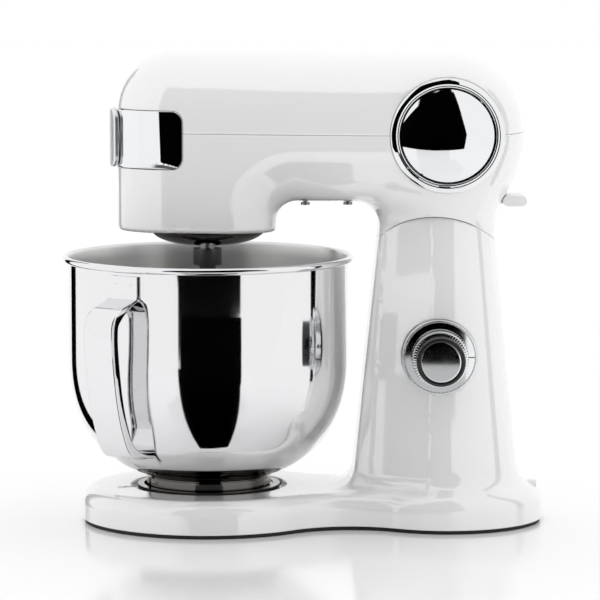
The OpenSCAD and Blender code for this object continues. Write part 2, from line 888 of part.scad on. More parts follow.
module main_shaft() {
    color("silver") translate([0, 0, carrier_z0 + 4])
        cylinder(r = main_shaft_r, h = bridge_z + bridge_t + 2 - carrier_z0 - 4);
}

crown_r = 24;
peg_r = 1.3;
peg_top = 277.5;
module main_gear() {
    color("silver") {
        translate([0, 0, main_gear_z]) spur_gear(main_teeth, main_gear_h, main_shaft_r, 0);
        for (i = [0:crown_pegs - 1]) {
            rotate([0, 0, (i + 0.5) * 360 / crown_pegs]) translate([crown_r, 0, main_gear_z + 1])
                cylinder(r = peg_r, h = peg_top - main_gear_z - 1, $fn = 24);
        }
    }
}

module layshaft() {
    color("silver") translate([layshaft_x, 0, 0]) {
        translate([0, 0, case_top]) cylinder(r = lay_shaft_r, h = 343 - case_top);
        translate([0, 0, main_gear_z - 1])
            spur_gear(pinion_teeth, main_gear_h + 2, lay_shaft_r, 180 / pinion_teeth);
    }
}

belt_z = 331;
belt_h = 9;
belt_t = 2.6;
belt_gap = 0.2;
module layshaft_pulley() {
    color("dimgray") translate([layshaft_x, 0, belt_z - 1.5]) difference() {
        union() {
            cylinder(r = pulley_large_r, h = belt_h + 3);
            for (z = [0, belt_h + 2]) translate([0, 0, z]) cylinder(r = pulley_large_r + 1.8, h = 1);
        }
        translate([0, 0, -1]) cylinder(r = lay_shaft_r, h = belt_h + 6);
    }
}

module motor_pulley() {
    color("silver") translate([motor_x, 0, belt_z - 1.5]) difference() {
        union() {
            cylinder(r = pulley_small_r, h = belt_h + 3);
            for (z = [0, belt_h + 2]) translate([0, 0, z]) cylinder(r = pulley_small_r + 1.8, h = 1);
        }
        translate([0, 0, -1]) cylinder(r = 4, h = belt_h + 6);
    }
}

// Outline round both pulleys, drawn out by grow
belt_steps = 24;
function belt_outline(grow) =
    let (span = motor_x - layshaft_x, lean = asin((pulley_large_r - pulley_small_r) / span))
    concat(
        [for (i = [0:belt_steps]) let (a = mix(90 - lean, 270 + lean, i / belt_steps))
            (pulley_large_r + grow) * [cos(a), sin(a)]],
        [for (i = [0:belt_steps]) let (a = mix(-90 + lean, 90 - lean, i / belt_steps))
            [span, 0] + (pulley_small_r + grow) * [cos(a), sin(a)]]
    );

module drive_belt() {
    color("black") translate([layshaft_x, 0, belt_z]) linear_extrude(belt_h) difference() {
        polygon(belt_outline(belt_gap + belt_t));
        polygon(belt_outline(belt_gap));
    }
}

motor_z0 = case_top + case_plate_t;
motor_h = 62;
motor_r = 36;
module motor_can() {
    color("gray") translate([motor_x, 0, motor_z0]) difference() {
        cylinder(r = motor_r, h = motor_h);
        translate([0, 0, 3]) cylinder(r = motor_r - 8, h = motor_h - 6);
        translate([0, 0, -1]) cylinder(r = 4.4, h = motor_h + 2);
    }
}

module motor_rotor() {
    color("silver") translate([motor_x, 0, 0]) {
        translate([0, 0, beam_z0 + 0.3]) cylinder(r = 4, h = belt_z + belt_h + 3 - beam_z0);
    }
    color("goldenrod") translate([motor_x, 0, motor_z0 + 8]) tube(24, 4, 36);
    color("darkorange") translate([motor_x, 0, motor_z0 + 46]) tube(12, 4, 9);
}

fan_blades = 9;
module cooling_fan() {
    color("dimgray") translate([motor_x, 0, motor_z0 + motor_h + 1.5]) {
        tube(30, 4, 1.5);
        tube(9, 4, 9);
        for (i = [0:fan_blades - 1]) {
            rotate([0, 0, i * 360 / fan_blades]) translate([8.5, -0.8, 1.4]) cube([20, 1.6, 7]);
        }
    }
}

hub_front_x = -65.4;
hub_bore_end_x = -46;
hub_rear_x = -38;
port_bore_r = 14;
module port_hub() {
    color("gray") difference() {
        union() {
            along_x(0, port_z, 19, hub_front_x, hub_rear_x);
            box(-45, -40, -17, 17, case_top + case_plate_t, port_z);
            // foot that is bolted to the gear case's lid
            box(-45, -26, -17, 17, case_top + case_plate_t, case_top + case_plate_t + 4);
        }
        along_x(0, port_z, port_bore_r, hub_front_x - 1, hub_bore_end_x);
        along_x(0, port_z, 6.05, hub_bore_end_x - 1, hub_rear_x + 1);
    }
}

pinion_x0 = -26.5;
pinion_x1 = -21.5;
module port_spindle() {
    color("silver") difference() {
        along_x(0, port_z, 6, hub_bore_end_x + 0.5, pinion_x1 + 2);
        box(hub_bore_end_x - 1, hub_bore_end_x + 9, -3.2, 3.2, port_z - 3.2, port_z + 3.2);
    }
}

// The teeth stand between the crown wheel's pegs when one points straight down
port_pitch_r = crown_r * port_teeth / crown_pegs;
module port_pinion() {
    color("silver") translate([pinion_x0, 0, port_z]) rotate([0, 90, 0])
        linear_extrude(pinion_x1 - pinion_x0) difference() {
            polygon(gear_outline(port_teeth, 2 * port_pitch_r / port_teeth, 2.4, 3.4, 0.2, 0.44));
            circle(6);
        }
}

// ---------------------------------------------------------------- tilt hinge, head side

arm_lean = 110;
arm_w = 15;
arm_top_z = beam_z0;
arm_bore_r = 9;
arm_front_x = 139;
arm_eye_r = 17;
module hinge_arm() {
    color("gray") difference() {
        union() {
            translate([0, arm_half, 0]) rotate([90, 0, 0]) linear_extrude(2 * arm_half) {
                translate([tilt_x, tilt_z]) circle(arm_eye_r);
                intersection() {
                    translate([tilt_x, tilt_z]) rotate(arm_lean - 90)
                        translate([-arm_w, 0]) square([2 * arm_w, 100]);
                    translate([arm_front_x, tilt_z - arm_eye_r])
                        square([60, arm_top_z - tilt_z + arm_eye_r]);
                }
            }
            box(arm_front_x + 2, 178, -24, 24, arm_top_z - 5, arm_top_z);
        }
        along_y(tilt_x, tilt_z, arm_bore_r, -50, 50);
    }
}

module hinge_bushes() {
    color("peru") for (side = [-1, 1]) {
        y0 = side > 0 ? 3 : -arm_half;
        difference() {
            along_y(tilt_x, tilt_z, arm_bore_r, y0, y0 + arm_half - 3);
            along_y(tilt_x, tilt_z, hinge_pin_r + 0.05, y0 - 1, y0 + arm_half);
        }
    }
}

// ---------------------------------------------------------------- release lever

lever_pin_r = 2.5;
lever_half = 8;
module lever_pin() {
    color("silver") along_y(lever_x, lever_z, lever_pin_r, -lug_y - 2.2, lug_y + 2.2);
}

module lever_spring() {
    color("silver") for (i = [0:4]) {
        translate([lever_x, -20 + 2 * i, lever_z]) rotate([90, 0, 0]) rotate_extrude()
            translate([4.2, 0]) circle(0.8, $fn = 24);
    }
}

paddle_x0 = 226;
paddle_x1 = 242;
paddle_half = 14;
paddle_r = 4;
module release_lever() {
    color("white") difference() {
        union() {
            along_y(lever_x, lever_z, 5, -lever_half, lever_half);
            box(lever_x, paddle_x0 + 2, -5, 5, lever_z - 2.6, lever_z + 2.6);
            along_y(paddle_x0 + 2, lever_z, paddle_r, -paddle_half, paddle_half);
            box(paddle_x0 + 2, paddle_x1 - paddle_r, -paddle_half, paddle_half,
                lever_z - paddle_r, lever_z + paddle_r);
            along_y(paddle_x1 - paddle_r, lever_z, paddle_r, -paddle_half, paddle_half);
        }
        along_y(lever_x, lever_z, lever_pin_r + 0.06, -20, 20);
    }
}

hook_y = strike_y - 1.6;
hook_lift = 1.2;
hook_reach_x = tilt_x + strike_r * cos(strike_angle);
hook_reach_z = tilt_z + strike_r * sin(strike_angle);
module latch_hook() {
    color("silver") difference() {
        union() {
            along_y(lever_x, lever_z, 5.5, lever_half, hook_y + 3.2);
            box(lever_x - 5, lever_x + 1, hook_y, hook_y + 3.2, lever_z - 12, lever_z);
            box(hook_reach_x - 8, lever_x + 1, hook_y, hook_y + 3.2,
                hook_reach_z - 2, hook_reach_z + 8);
        }
        along_y(lever_x, lever_z, lever_pin_r + 0.06, -40, 40);
        // the hook is lifted just clear of the staple
        along_y(tilt_x, tilt_z, strike_r + 1.5 + hook_lift, -40, 40);
    }
}

// ---------------------------------------------------------------- planetary beater

hub_r = 10.85;
hub_z0 = 199;
hub_z1 = 211.5;
module beater_shaft() {
    color("silver") translate([0, planet_y, 0]) {
        translate([0, 0, 203]) cylinder(r = beater_shaft_r, h = 36);
        along_y(0, 206.5, 1.5, -9, 9);
    }
}

module planet_pinion() {
    color("silver") translate([0, planet_y, ring_z0 + 0.5])
        spur_gear(planet_teeth, ring_h - 1, beater_shaft_r, 90 + 180 / planet_teeth);
}

beater_top = 188;
beater_bottom = 40;
beater_t = 7;
beater_rim = 9;
beater_steps = 24;
// Radius of the bowl's inside at height z
function bowl_inner(z) = z > bowl_curve_z ? bowl_r - bowl_t
    : (bowl_r - bowl_t) * pow(max(0, 1 - pow((bowl_curve_z - z) / (bowl_curve_h - bowl_t), 2.5)), 0.4);
// Half width of the beater's frame at height z
function beater_half(z) = 0.78 * (bowl_inner(z) - 28)
    * (z < 110 ? 1 : sqrt(max(0.03, 1 - pow((z - 110) / 82, 2))));
function beater_edge(z0, z1, inset) = [
    for (i = [0:beater_steps]) let (z = mix(z0, z1, i / beater_steps)) [beater_half(z) - inset, z]
];
function both_sides(pts) = concat(pts, [for (i = [len(pts) - 1:-1:0]) [-pts[i][0], pts[i][1]]]);

module beater_bar(x0, z0, x1, z1, w) {
    run = sqrt(pow(x1 - x0, 2) + pow(z1 - z0, 2));
    translate([x0, z0]) rotate(atan2(z1 - z0, x1 - x0)) translate([0, -w / 2]) square([run, w]);
}

module flat_beater() {
    color("silver") translate([0, planet_y, 0]) {
        translate([0, beater_t / 2, 0]) rotate([90, 0, 0]) linear_extrude(beater_t) {
            difference() {
                polygon(both_sides(beater_edge(beater_bottom, beater_top, 0)));
                polygon(both_sides(beater_edge(beater_bottom + beater_rim, beater_top - 22, beater_rim)));
            }
            intersection() {
                polygon(both_sides(beater_edge(beater_bottom, beater_top, 2)));
                union() {
                    translate([-4, beater_bottom + 2]) square([8, beater_top - beater_bottom - 4]);
                    beater_bar(0, 150, 60, 112, 6);
                    beater_bar(0, 112, 60, 74, 6);
                    beater_bar(0, 112, -60, 150, 6);
                    beater_bar(0, 74, -60, 112, 6);
                }
            }
        }
        translate([0, 0, 186]) cylinder(r = 6.25, h = hub_z0 + 1 - 186);
        difference() {
            translate([0, 0, hub_z0]) cylinder(r = hub_r, h = hub_z1 - hub_z0);
            translate([0, 0, 202.8]) cylinder(r = beater_shaft_r + 0.1, h = 20);
            box(-1.7, 1.7, -9.3, 9.3, 204.8, 220);
        }
    }
}

// ---------------------------------------------------------------- bowl

bowl_steps = 20;
// The bowl's lower curve from its wall to its axis, drawn in by inset
function bowl_curve(inset) = [
    for (i = [0:bowl_steps]) let (
        a = 90 * i / bowl_steps,
        r = (bowl_r - inset) * pow(cos(a), 0.8),
        z = bowl_curve_z - (bowl_curve_h - inset) * pow(sin(a), 0.8)
    ) [i == bowl_steps ? 0 : r, z]
];
rim_r = 2.6;
rim_offset = 1.9;
rim_steps = 20;
// The rolled rim goes over the top from the wall's inner face to its outer face
rim_inner_angle = 180;
rim_outer_angle = -acos(-rim_offset / rim_r);
function rim_curve() = [
    for (i = [0:rim_steps]) let (a = mix(rim_inner_angle, rim_outer_angle, i / rim_steps))
        [bowl_r + rim_offset + rim_r * cos(a), bowl_rim_z + rim_r * sin(a)]
];

module bowl_shell() {
    inner = bowl_curve(bowl_t);
    color("silver") rotate_extrude($fn = 128)
        polygon(concat(rim_curve(), bowl_curve(0), [for (i = [bowl_steps:-1:0]) inner[i]]));
}

foot_ring_r = 45;
foot_ring_z0 = 21.1;
lug_h = 3;
// Height of the bowl's outer face at radius r
function bowl_outer_z(r) = bowl_curve_z - bowl_curve_h * pow(1 - pow(r / bowl_r, 2.5), 0.4);
// Radius of the bowl's outer face at height z
function bowl_outer_r(z) = bowl_r * pow(1 - pow((bowl_curve_z - z) / bowl_curve_h, 2.5), 0.4);
module bowl_foot() {
    top = bowl_outer_z(foot_ring_r) - 0.3;
    color("silver") {
        translate([0, 0, foot_ring_z0])
            tube(foot_ring_r, foot_ring_r - 2, bowl_outer_z(foot_ring_r - 2) - foot_ring_z0);
        translate([0, 0, 29]) tube(foot_ring_r + 2.5, foot_ring_r - 1, top - 29 - 1);
        for (i = [0:lock_tabs - 1]) {
            rotate([0, 0, i * 360 / lock_tabs]) translate([0, 0, foot_ring_z0])
                sector(foot_ring_r - 1, 48.6, tab_angle - 6, lug_h);
        }
    }
}

// Handle strip seen from its side, as radius from the bowl's axis and height
handle_line = [
    [bowl_r + 0.1, 196.5], [bowl_r + 0.1, 178], [112, 175.5], [131, 171], [137.5, 165],
    [138.5, 150], [137, 130], [133, 105], [127, 84], [120, 70], [114, 64], [106, 61.5],
    [bowl_outer_r(61) + 0.8, 61], [bowl_outer_r(53) + 0.8, 53]
];
handle_t = 2.4;
handle_half = 13;

// Unit direction of the strip at point i, averaged over its two neighbours
function handle_dir(i) =
    let (a = handle_line[max(0, i - 1)], b = handle_line[min(len(handle_line) - 1, i + 1)])
    (b - a) / norm(b - a);

module bowl_handle() {
    n = len(handle_line);
    color("silver") rotate([0, 0, -90 - handle_turn]) rotate([90, 0, 0])
        translate([0, 0, -handle_half]) linear_extrude(2 * handle_half)
            polygon(concat(
                handle_line,
                [for (i = [n - 1:-1:0]) let (d = handle_dir(i)) handle_line[i] + handle_t * [-d[1], d[0]]]
            ));
}

// ---------------------------------------------------------------- output

base_shell();
base_cover();
foot_gasket();
bowl_seat();
lock_marker();
base_screws();
cord_gland();
column_shell();
column_cap();
hinge_pedestal();
hinge_pin();
latch_strike();
dial_surround();
speed_switch();
control_board();
head_top_shell();
head_lower_shell();
nose_band();
disc_ring_left();
disc_ring_right();
disc_plate_left();
disc_plate_right();
head_screws();
gear_case();
bearing_bridge();
ring_gear();
shaft_bearings();
port_hub();
hinge_arm();
hinge_bushes();
motor_can();
drive_belt();
lever_pin();
lever_spring();
port_cover();
release_lever();
latch_hook();
dial_spindle();
dial_knob();
dial_grip();
dial_face();
motor_rotor();
cooling_fan();
motor_pulley();
layshaft();
layshaft_pulley();
port_spindle();
port_pinion();
planet_carrier();
drip_dome();
main_shaft();
main_gear();
beater_shaft();
planet_pinion();
flat_beater();
bowl_shell();
bowl_foot();
bowl_handle();
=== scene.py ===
"""The looks of a tilt-head stand mixer: smooth castings, chrome trim, a steel bowl and a studio.

Lengths in this script are millimetres in the frame's own axes, until MM turns them into metres.
"""
import json
import math

import bmesh
import bpy
import numpy as np
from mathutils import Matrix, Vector


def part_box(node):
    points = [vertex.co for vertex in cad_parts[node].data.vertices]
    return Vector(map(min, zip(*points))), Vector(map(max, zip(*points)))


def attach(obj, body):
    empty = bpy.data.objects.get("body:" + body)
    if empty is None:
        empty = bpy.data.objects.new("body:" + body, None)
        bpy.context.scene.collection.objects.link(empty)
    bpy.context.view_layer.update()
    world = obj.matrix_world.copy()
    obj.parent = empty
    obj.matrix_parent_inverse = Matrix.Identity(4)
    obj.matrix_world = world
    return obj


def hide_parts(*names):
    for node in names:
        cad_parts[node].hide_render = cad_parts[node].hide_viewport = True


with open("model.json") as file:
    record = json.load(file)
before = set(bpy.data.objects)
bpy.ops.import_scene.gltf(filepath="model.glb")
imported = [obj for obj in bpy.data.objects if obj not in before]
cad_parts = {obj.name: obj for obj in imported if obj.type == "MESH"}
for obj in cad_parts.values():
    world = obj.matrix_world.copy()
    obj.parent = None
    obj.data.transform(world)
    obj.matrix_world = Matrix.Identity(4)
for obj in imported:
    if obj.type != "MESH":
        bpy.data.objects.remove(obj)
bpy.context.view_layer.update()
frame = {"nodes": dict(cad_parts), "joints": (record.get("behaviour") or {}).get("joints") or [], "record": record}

MM = 0.001


# ---------------------------------------------------------------- places taken from the frame

def box_mm(node):
    low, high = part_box(node)
    return np.array(low) / MM, np.array(high) / MM


def joint_mm(name):
    return np.array(next(j for j in frame["joints"] if j["name"] == name)["pos_m"]) / MM


tilt_x, _, tilt_z = joint_mm("head_tilt")
dial_x, _, dial_z = joint_mm("dial_turn")
top_low, top_high = box_mm("head_top_shell")
base_low, base_high = box_mm("base_shell")
ring_low, ring_high = box_mm("disc_ring_left")
bowl_low, bowl_high = box_mm("bowl_shell")

# Head
seam_gap = 0.3
shown_gap = 0.14
hinge_gap = 0.35
mixer_h = top_high[2]
drum_z = top_low[2] - seam_gap
drum_r = 62.0
drum_x = 177.0
drum_half = 68.0
nose_r = 45.0
nose_x = -24.0
nose_top_z = 314.0
housing_z = 224.0
housing_rear = 52.0
arm_z = 247.0
seam_r = 62.5
wall = 3.0
arm_fillet = 16.0
arm_edge = 18.0
shell_edge = 3.0
flank_reach = 37
flank_run, flank_rise, flank_norm = 17, 8, 18.8
neck_fillet = 20.0
neck_z0 = 216.0
neck_rise = 64.0
neck_top_z = 286.0
neck_long_half = 51.0
neck_wide_half = 58.0
FAR = 90.0

# Base and column
foot_h = base_low[2]
base_top = base_high[2]
base_edge = 12.0
bowl_lobe_r = 97.0
column_lobe_r = 75.0
lobe_gap = 181.0
waist_half = 55.0
base_fillet = 18.0
column_z0 = 27.5
column_z1 = 240.0


# ---------------------------------------------------------------- solid shapes as distance fields

def mix(a, b, t):
    return a + (b - a) * t


def smooth_step(t):
    t = np.clip(t, 0, 1)
    return t * t * (3 - 2 * t)


def soft_max(a, b, k):
    """The larger of two fields, with the edge between them rounded over k."""
    h = np.clip(0.5 + 0.5 * (a - b) / k, 0, 1)
    return mix(b, a, h) + k * h * (1 - h)


def soft_min(a, b, k):
    return -soft_max(-a, -b, k)


def fillet_min(a, b, r):
    """The union of two fields with a fillet of radius r."""
    inner = np.hypot(np.maximum(r - a, 0), np.maximum(r - b, 0))
    return np.maximum(r, np.minimum(a, b)) - inner


ANGLES = np.linspace(0, math.pi, 31)


def convex_field(x, y, support):
    """Distance to a convex outline that is its own mirror image, from its support function."""
    cos, sin = np.cos(ANGLES), np.sin(ANGLES)
    gap = x[:, None] * cos + y[:, None] * sin - support(cos, sin)
    best = np.clip(gap.argmax(1), 1, len(ANGLES) - 2)
    row = np.arange(len(x))
    a, b, c = gap[row, best - 1], gap[row, best], gap[row, best + 1]
    bend = a - 2 * b + c
    shift = np.where(bend < -1e-9, 0.5 * (a - c) / np.where(bend < -1e-9, bend, -1), 0)
    return b - 0.25 * (a - c) * np.clip(shift, -1, 1)


def column_support(z):
    """The column's section at height z: an ellipse behind, a narrower blunt front."""
    t = ((z - column_z0) / (column_z1 - column_z0))[:, None]
    front, rear = mix(109.5, 131.5, t), mix(237.5, 216.5, t)
    half, crease = mix(61, 46, t), mix(130.5, 144, t)
    nose_half, corner = mix(34, 30, t), 8.0

    def support(cos, sin):
        back = (rear + crease) / 2 * cos + np.hypot((rear - crease) / 2 * cos, half * sin)
        blunt = (front + corner) * cos + (nose_half - corner) * sin + corner
        return np.maximum(back, blunt)
    return support


def column_field(p):
    x, y, z = p[:, 0], np.abs(p[:, 1]), p[:, 2]
    return convex_field(x, y, column_support(z))


# The base's waist is an arc that touches both lobes
waist_k1 = (bowl_lobe_r - column_lobe_r) / lobe_gap
waist_k0 = (lobe_gap ** 2 + bowl_lobe_r ** 2 - column_lobe_r ** 2) / (2 * lobe_gap)
waist_b = 2 * waist_k0 * waist_k1 - 2 * (bowl_lobe_r - waist_half)
waist_c = waist_k0 ** 2 - bowl_lobe_r ** 2 + waist_half ** 2
waist_r = (-waist_b - math.sqrt(waist_b ** 2 - 4 * waist_k1 ** 2 * waist_c)) / (2 * waist_k1 ** 2)
waist_x = waist_k0 + waist_k1 * waist_r
waist_y = waist_half + waist_r


def base_field(p):
    x, y, z = p[:, 0], np.abs(p[:, 1]), p[:, 2]
    lobes = np.minimum(np.hypot(x, y) - bowl_lobe_r, np.hypot(x - lobe_gap, y) - column_lobe_r)
    waist = waist_r - np.hypot(x - waist_x, y - waist_y)
    between = (x * waist_y > y * waist_x) & ((lobe_gap - x) * waist_y > y * (lobe_gap - waist_x))
    plan = np.where(between, waist, lobes) + base_edge
    up = z - base_top + base_edge
    rounded = np.hypot(np.maximum(plan, 0), np.maximum(up, 0))
    return np.minimum(np.maximum(plan, up), 0) + rounded - base_edge


def stand_field(p):
    column = np.full(len(p), FAR)
    near = p[:, 0] > 60
    column[near] = column_field(p[near])
    return soft_min(base_field(p), column, base_fillet)


def neck_field(p):
    """The column's top section, widening to an ellipse under the drum."""
    x, y, z = p[:, 0], np.abs(p[:, 1]), p[:, 2]
    t = smooth_step((z - neck_z0) / neck_rise)[:, None]
    lower = column_support(np.minimum(z, column_z1))

    def support(cos, sin):
        upper = drum_x * cos + np.hypot(neck_long_half * cos, neck_wide_half * sin)
        return mix(lower(cos, sin), upper, t)
    return np.maximum(convex_field(x, y, support), z - neck_top_z)


def head_field(p):
    x, y, z = p[:, 0], np.abs(p[:, 1]), p[:, 2]
    along = np.clip((x - nose_x) / (drum_x - nose_x), 0, 1)
    half = mix(nose_r, drum_half, np.sin(along * math.pi / 2))
    spring = mix(nose_top_z, drum_z, along)
    over = np.maximum(z - spring, 0) / (mixer_h - spring)
    under = np.maximum(drum_z - z, 0) / drum_r
    end = np.where(x < nose_x, (nose_x - x) / nose_r, np.maximum(x - drum_x, 0) / drum_r)
    tail = np.where(x > drum_x, smooth_step(end / 0.7), 0)
    power = 2 + 0.6 * along
    round_end = end ** 2 + over ** 2 + tail * under ** 2
    crown = ((y / half) ** power + round_end ** (power / 2)) ** (1 / power)
    plan = ((y / half) ** power + end ** power) ** (1 / power)
    side = (crown - 1) * half
    depth = -fillet_min(x - housing_rear, arm_z - z, arm_fillet)
    # Draws the sides in near the arm's underside and the housing's rear
    flank = ((plan - 1) * half * flank_run - (depth - flank_reach) * flank_rise) / flank_norm
    body = soft_max(side, flank, shell_edge)
    body = soft_max(body, -depth, arm_edge)
    body = soft_max(body, housing_z - z, shell_edge)
    neck = np.full(len(p), FAR)
    near = (x > 70) & (z < 300)
    neck[near] = neck_field(p[near])
    return fillet_min(body, neck, neck_fillet)


# ---------------------------------------------------------------- from a field to a mesh

def in_chunks(field, points, size=150000):
    return np.concatenate([field(points[i:i + size]) for i in range(0, len(points), size)])


def slope(field, points, step=0.05):
    """The field's gradient at each point."""
    out = np.zeros_like(points)
    for axis in range(3):
        d = np.zeros(3)
        d[axis] = step
        out[:, axis] = (in_chunks(field, points + d) - in_chunks(field, points - d)) / (2 * step)
    return out


def settle(field, points, rounds=4):
    """Points moved onto the field's zero surface."""
    for _ in range(rounds):
        g = slope(field, points)
        length2 = np.maximum((g * g).sum(1), 0.05)
        move = in_chunks(field, points)[:, None] * g / length2[:, None]
        reach = np.linalg.norm(move, axis=1, keepdims=True)
        points = points - move * np.minimum(1, 1.5 / np.maximum(reach, 1e-9))
    return points


def surface(field, low, high, step):
    """Vertices and triangles of a field's zero surface, one vertex in each cell that it crosses."""
    axes = [np.arange(a, b + step, step) for a, b in zip(low, high)]
    shape = [len(a) for a in axes]
    grid = np.stack(np.meshgrid(*axes, indexing="ij"), -1).reshape(-1, 3)
    value = in_chunks(field, grid).reshape(shape)
    cells = [n - 1 for n in shape]
    total, count = np.zeros(cells + [3]), np.zeros(cells)

    def corner(o):
        return value[o[0]:o[0] + cells[0], o[1]:o[1] + cells[1], o[2]:o[2] + cells[2]]

    for axis in range(3):
        u, v = [a for a in range(3) if a != axis]
        for du in (0, 1):
            for dv in (0, 1):
                start = [0, 0, 0]
                start[u], start[v] = du, dv
                stop = list(start)
                stop[axis] = 1
                a, b = corner(start), corner(stop)
                cross = (a < 0) != (b < 0)
                share = np.where(cross, a / np.where(cross, a - b, 1), 0)
                total[..., axis] += share
                total[..., u] += np.where(cross, du, 0)
                total[..., v] += np.where(cross, dv, 0)
                count += cross
    active = count > 0
    number = np.full(cells, -1)
    number[active] = np.arange(active.sum())
    place = np.argwhere(active) + total[active] / count[active][:, None]
    points = np.array(low) + place * step
    quads = []
    for axis in range(3):
        u, v = (axis + 1) % 3, (axis + 2) % 3
        first = np.take(value, range(shape[axis] - 1), axis)
        second = np.take(value, range(1, shape[axis]), axis)
        at = np.argwhere((first < 0) != (second < 0))
        at = at[(at[:, u] > 0) & (at[:, v] > 0) & (at[:, u] < cells[u]) & (at[:, v] < cells[v])]
        loop = []
        for du, dv in ((1, 1), (0, 1), (0, 0), (1, 0)):
            c = at.copy()
            c[:, u] -= du
            c[:, v] -= dv
            loop.append(number[c[:, 0], c[:, 1], c[:, 2]])
        loop = np.stack(loop, 1)
        outward = first[at[:, 0], at[:, 1], at[:, 2]] < 0
        quads.append(np.where(outward[:, None], loop, loop[:, ::-1]))
    quads = np.concatenate(quads)
    points = settle(field, points)
    a = np.linalg.norm(points[quads[:, 0]] - points[quads[:, 2]], axis=1)
    b = np.linalg.norm(points[quads[:, 1]] - points[quads[:, 3]], axis=1)
    cut = (a < b)[:, None]
    one = np.where(cut, quads[:, [0, 1, 2]], quads[:, [0, 1, 3]])
    two = np.where(cut, quads[:, [0, 2, 3]], quads[:, [1, 2, 3]])
    return points, np.concatenate([one, two])


def clip(points, faces, keep, snap=0.3):
    """Cuts triangles along keep(points) = 0 and drops what lies where keep is positive."""
    g = keep(points)
    near = np.abs(g) < snap
    if near.any():
        q = points[near]
        d = slope(keep, q)
        points = points.copy()
        points[near] = q - g[near][:, None] * d / np.maximum((d * d).sum(1), 0.05)[:, None]
        g = np.where(near, 0.0, g)
    drop = g > 0
    faces = faces[~(drop[faces] | (g[faces] == 0)).all(1)]
    crossing = drop[faces].any(1)
    kept, mixed = [faces[~crossing]], faces[crossing]
    points, g = list(points), list(g)
    made = {}

    def middle(i, j):
        if g[i] == 0:
            return i
        if g[j] == 0:
            return j
        key = (min(i, j), max(i, j))
        if key not in made:
            t = g[i] / (g[i] - g[j])
            made[key] = len(points)
            points.append(points[i] + (points[j] - points[i]) * t)
            g.append(0.0)
        return made[key]

    new = []
    for face in mixed.tolist():
        ring = []
        for i, j in zip(face, face[1:] + face[:1]):
            if g[i] <= 0:
                ring.append(i)
            if (g[i] < 0 < g[j]) or (g[j] < 0 < g[i]):
                ring.append(middle(i, j))
        for k in range(1, len(ring) - 1):
            tri = (ring[0], ring[k], ring[k + 1])
            if len(set(tri)) == 3:
                new.append(tri)
    if new:
        kept.append(np.array(new))
    faces = np.concatenate(kept)
    used = np.unique(faces)
    number = np.full(len(points), -1)
    number[used] = np.arange(len(used))
    return np.array(points)[used], number[faces]


def border(faces):
    """The directed edges that only one triangle has, and the corner across from each."""
    edges = np.concatenate([faces[:, [0, 1]], faces[:, [1, 2]], faces[:, [2, 0]]])
    across = np.concatenate([faces[:, 2], faces[:, 0], faces[:, 1]])
    n = faces.max() + 1
    key = edges[:, 0] * n + edges[:, 1]
    lone = ~np.isin(key, edges[:, 1] * n + edges[:, 0])
    return edges[lone], across[lone]


def shell(field, points, faces, thick, bevel=0.5):
    """A wall of even thickness behind a surface, with a small bevel round every border."""
    normal = slope(field, points)
    normal /= np.maximum(np.linalg.norm(normal, axis=1, keepdims=True), 1e-9)
    edges, across = border(faces)
    inward = np.zeros_like(points)
    run = points[edges[:, 1]] - points[edges[:, 0]]
    run /= np.maximum(np.linalg.norm(run, axis=1, keepdims=True), 1e-9)
    side = points[across] - points[edges[:, 0]]
    side -= (side * run).sum(1, keepdims=True) * run
    side /= np.maximum(np.linalg.norm(side, axis=1, keepdims=True), 1e-9)
    for k in (0, 1):
        np.add.at(inward, edges[:, k], side)
    inward /= np.maximum(np.linalg.norm(inward, axis=1, keepdims=True), 1e-9)
    rim = np.unique(edges)
    step_of = np.full(len(points), -1)
    step_of[rim] = np.arange(len(rim)) + len(points)
    inner_start = len(points) + len(rim)
    outer = points.copy()
    outer[rim] += inward[rim] * bevel
    step = points[rim] - normal[rim] * bevel
    inner = points - normal * thick
    a, b = edges[:, 0], edges[:, 1]
    sa, sb = step_of[a], step_of[b]
    ia, ib = a + inner_start, b + inner_start
    bands = [np.stack(q, 1) for q in ((b, a, sa), (b, sa, sb), (sb, sa, ia), (sb, ia, ib))]
    return (np.concatenate([outer, step, inner]),
            np.concatenate([faces, faces[:, ::-1] + inner_start] + bands))


# ---------------------------------------------------------------- pieces

def add(name, points, faces, body, slot, *replaced, sharp=50, turn_out=False):
    mesh = bpy.data.meshes.new(name)
    mesh.from_pydata((np.asarray(points, float) * MM).tolist(), [],
                     [[int(i) for i in f] for f in faces])
    mesh.validate()
    if turn_out:
        work = bmesh.new()
        work.from_mesh(mesh)
        bmesh.ops.recalc_face_normals(work, faces=work.faces)
        work.to_mesh(mesh)
        work.free()
    mesh.shade_smooth()
    mesh.set_sharp_from_angle(angle=math.radians(sharp))
    piece = bpy.data.objects.new(name, mesh)
    bpy.context.scene.collection.objects.link(piece)
    mesh.materials.append(finish_of[slot])
    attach(piece, body)
    if replaced:
        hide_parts(*replaced)
    return piece


def lathe(profile, steps=192, origin=(0, 0, 0), along="z", ribs=0, rib_depth=0.0, rib_from=0.0):
    """A closed profile of (radius, height) points turned round an axis, with ribs if asked."""
    profile = np.asarray(profile, float)
    angle = np.arange(steps) * 2 * math.pi / steps
    r, h = profile[:, 0][:, None], profile[:, 1][:, None]
    groove = rib_depth * np.maximum(0, np.cos(ribs * angle)) ** 2 if ribs else 0 * angle
    r = r - np.where(r > rib_from, groove, 0)
    u, v, w = r * np.cos(angle), r * np.sin(angle), h + 0 * angle
    points = {"z": (u, v, w), "y": (v, w, u), "-y": (u, -w, v)}[along]
    points = np.stack(points, -1).reshape(-1, 3) + np.array(origin)
    n = len(profile)
    faces = []
    for i in range(n):
        a, b = i * steps, (i + 1) % n * steps
        for k in range(steps):
            m = (k + 1) % steps
            faces.append((a + k, a + m, b + m, b + k))
    return points, faces


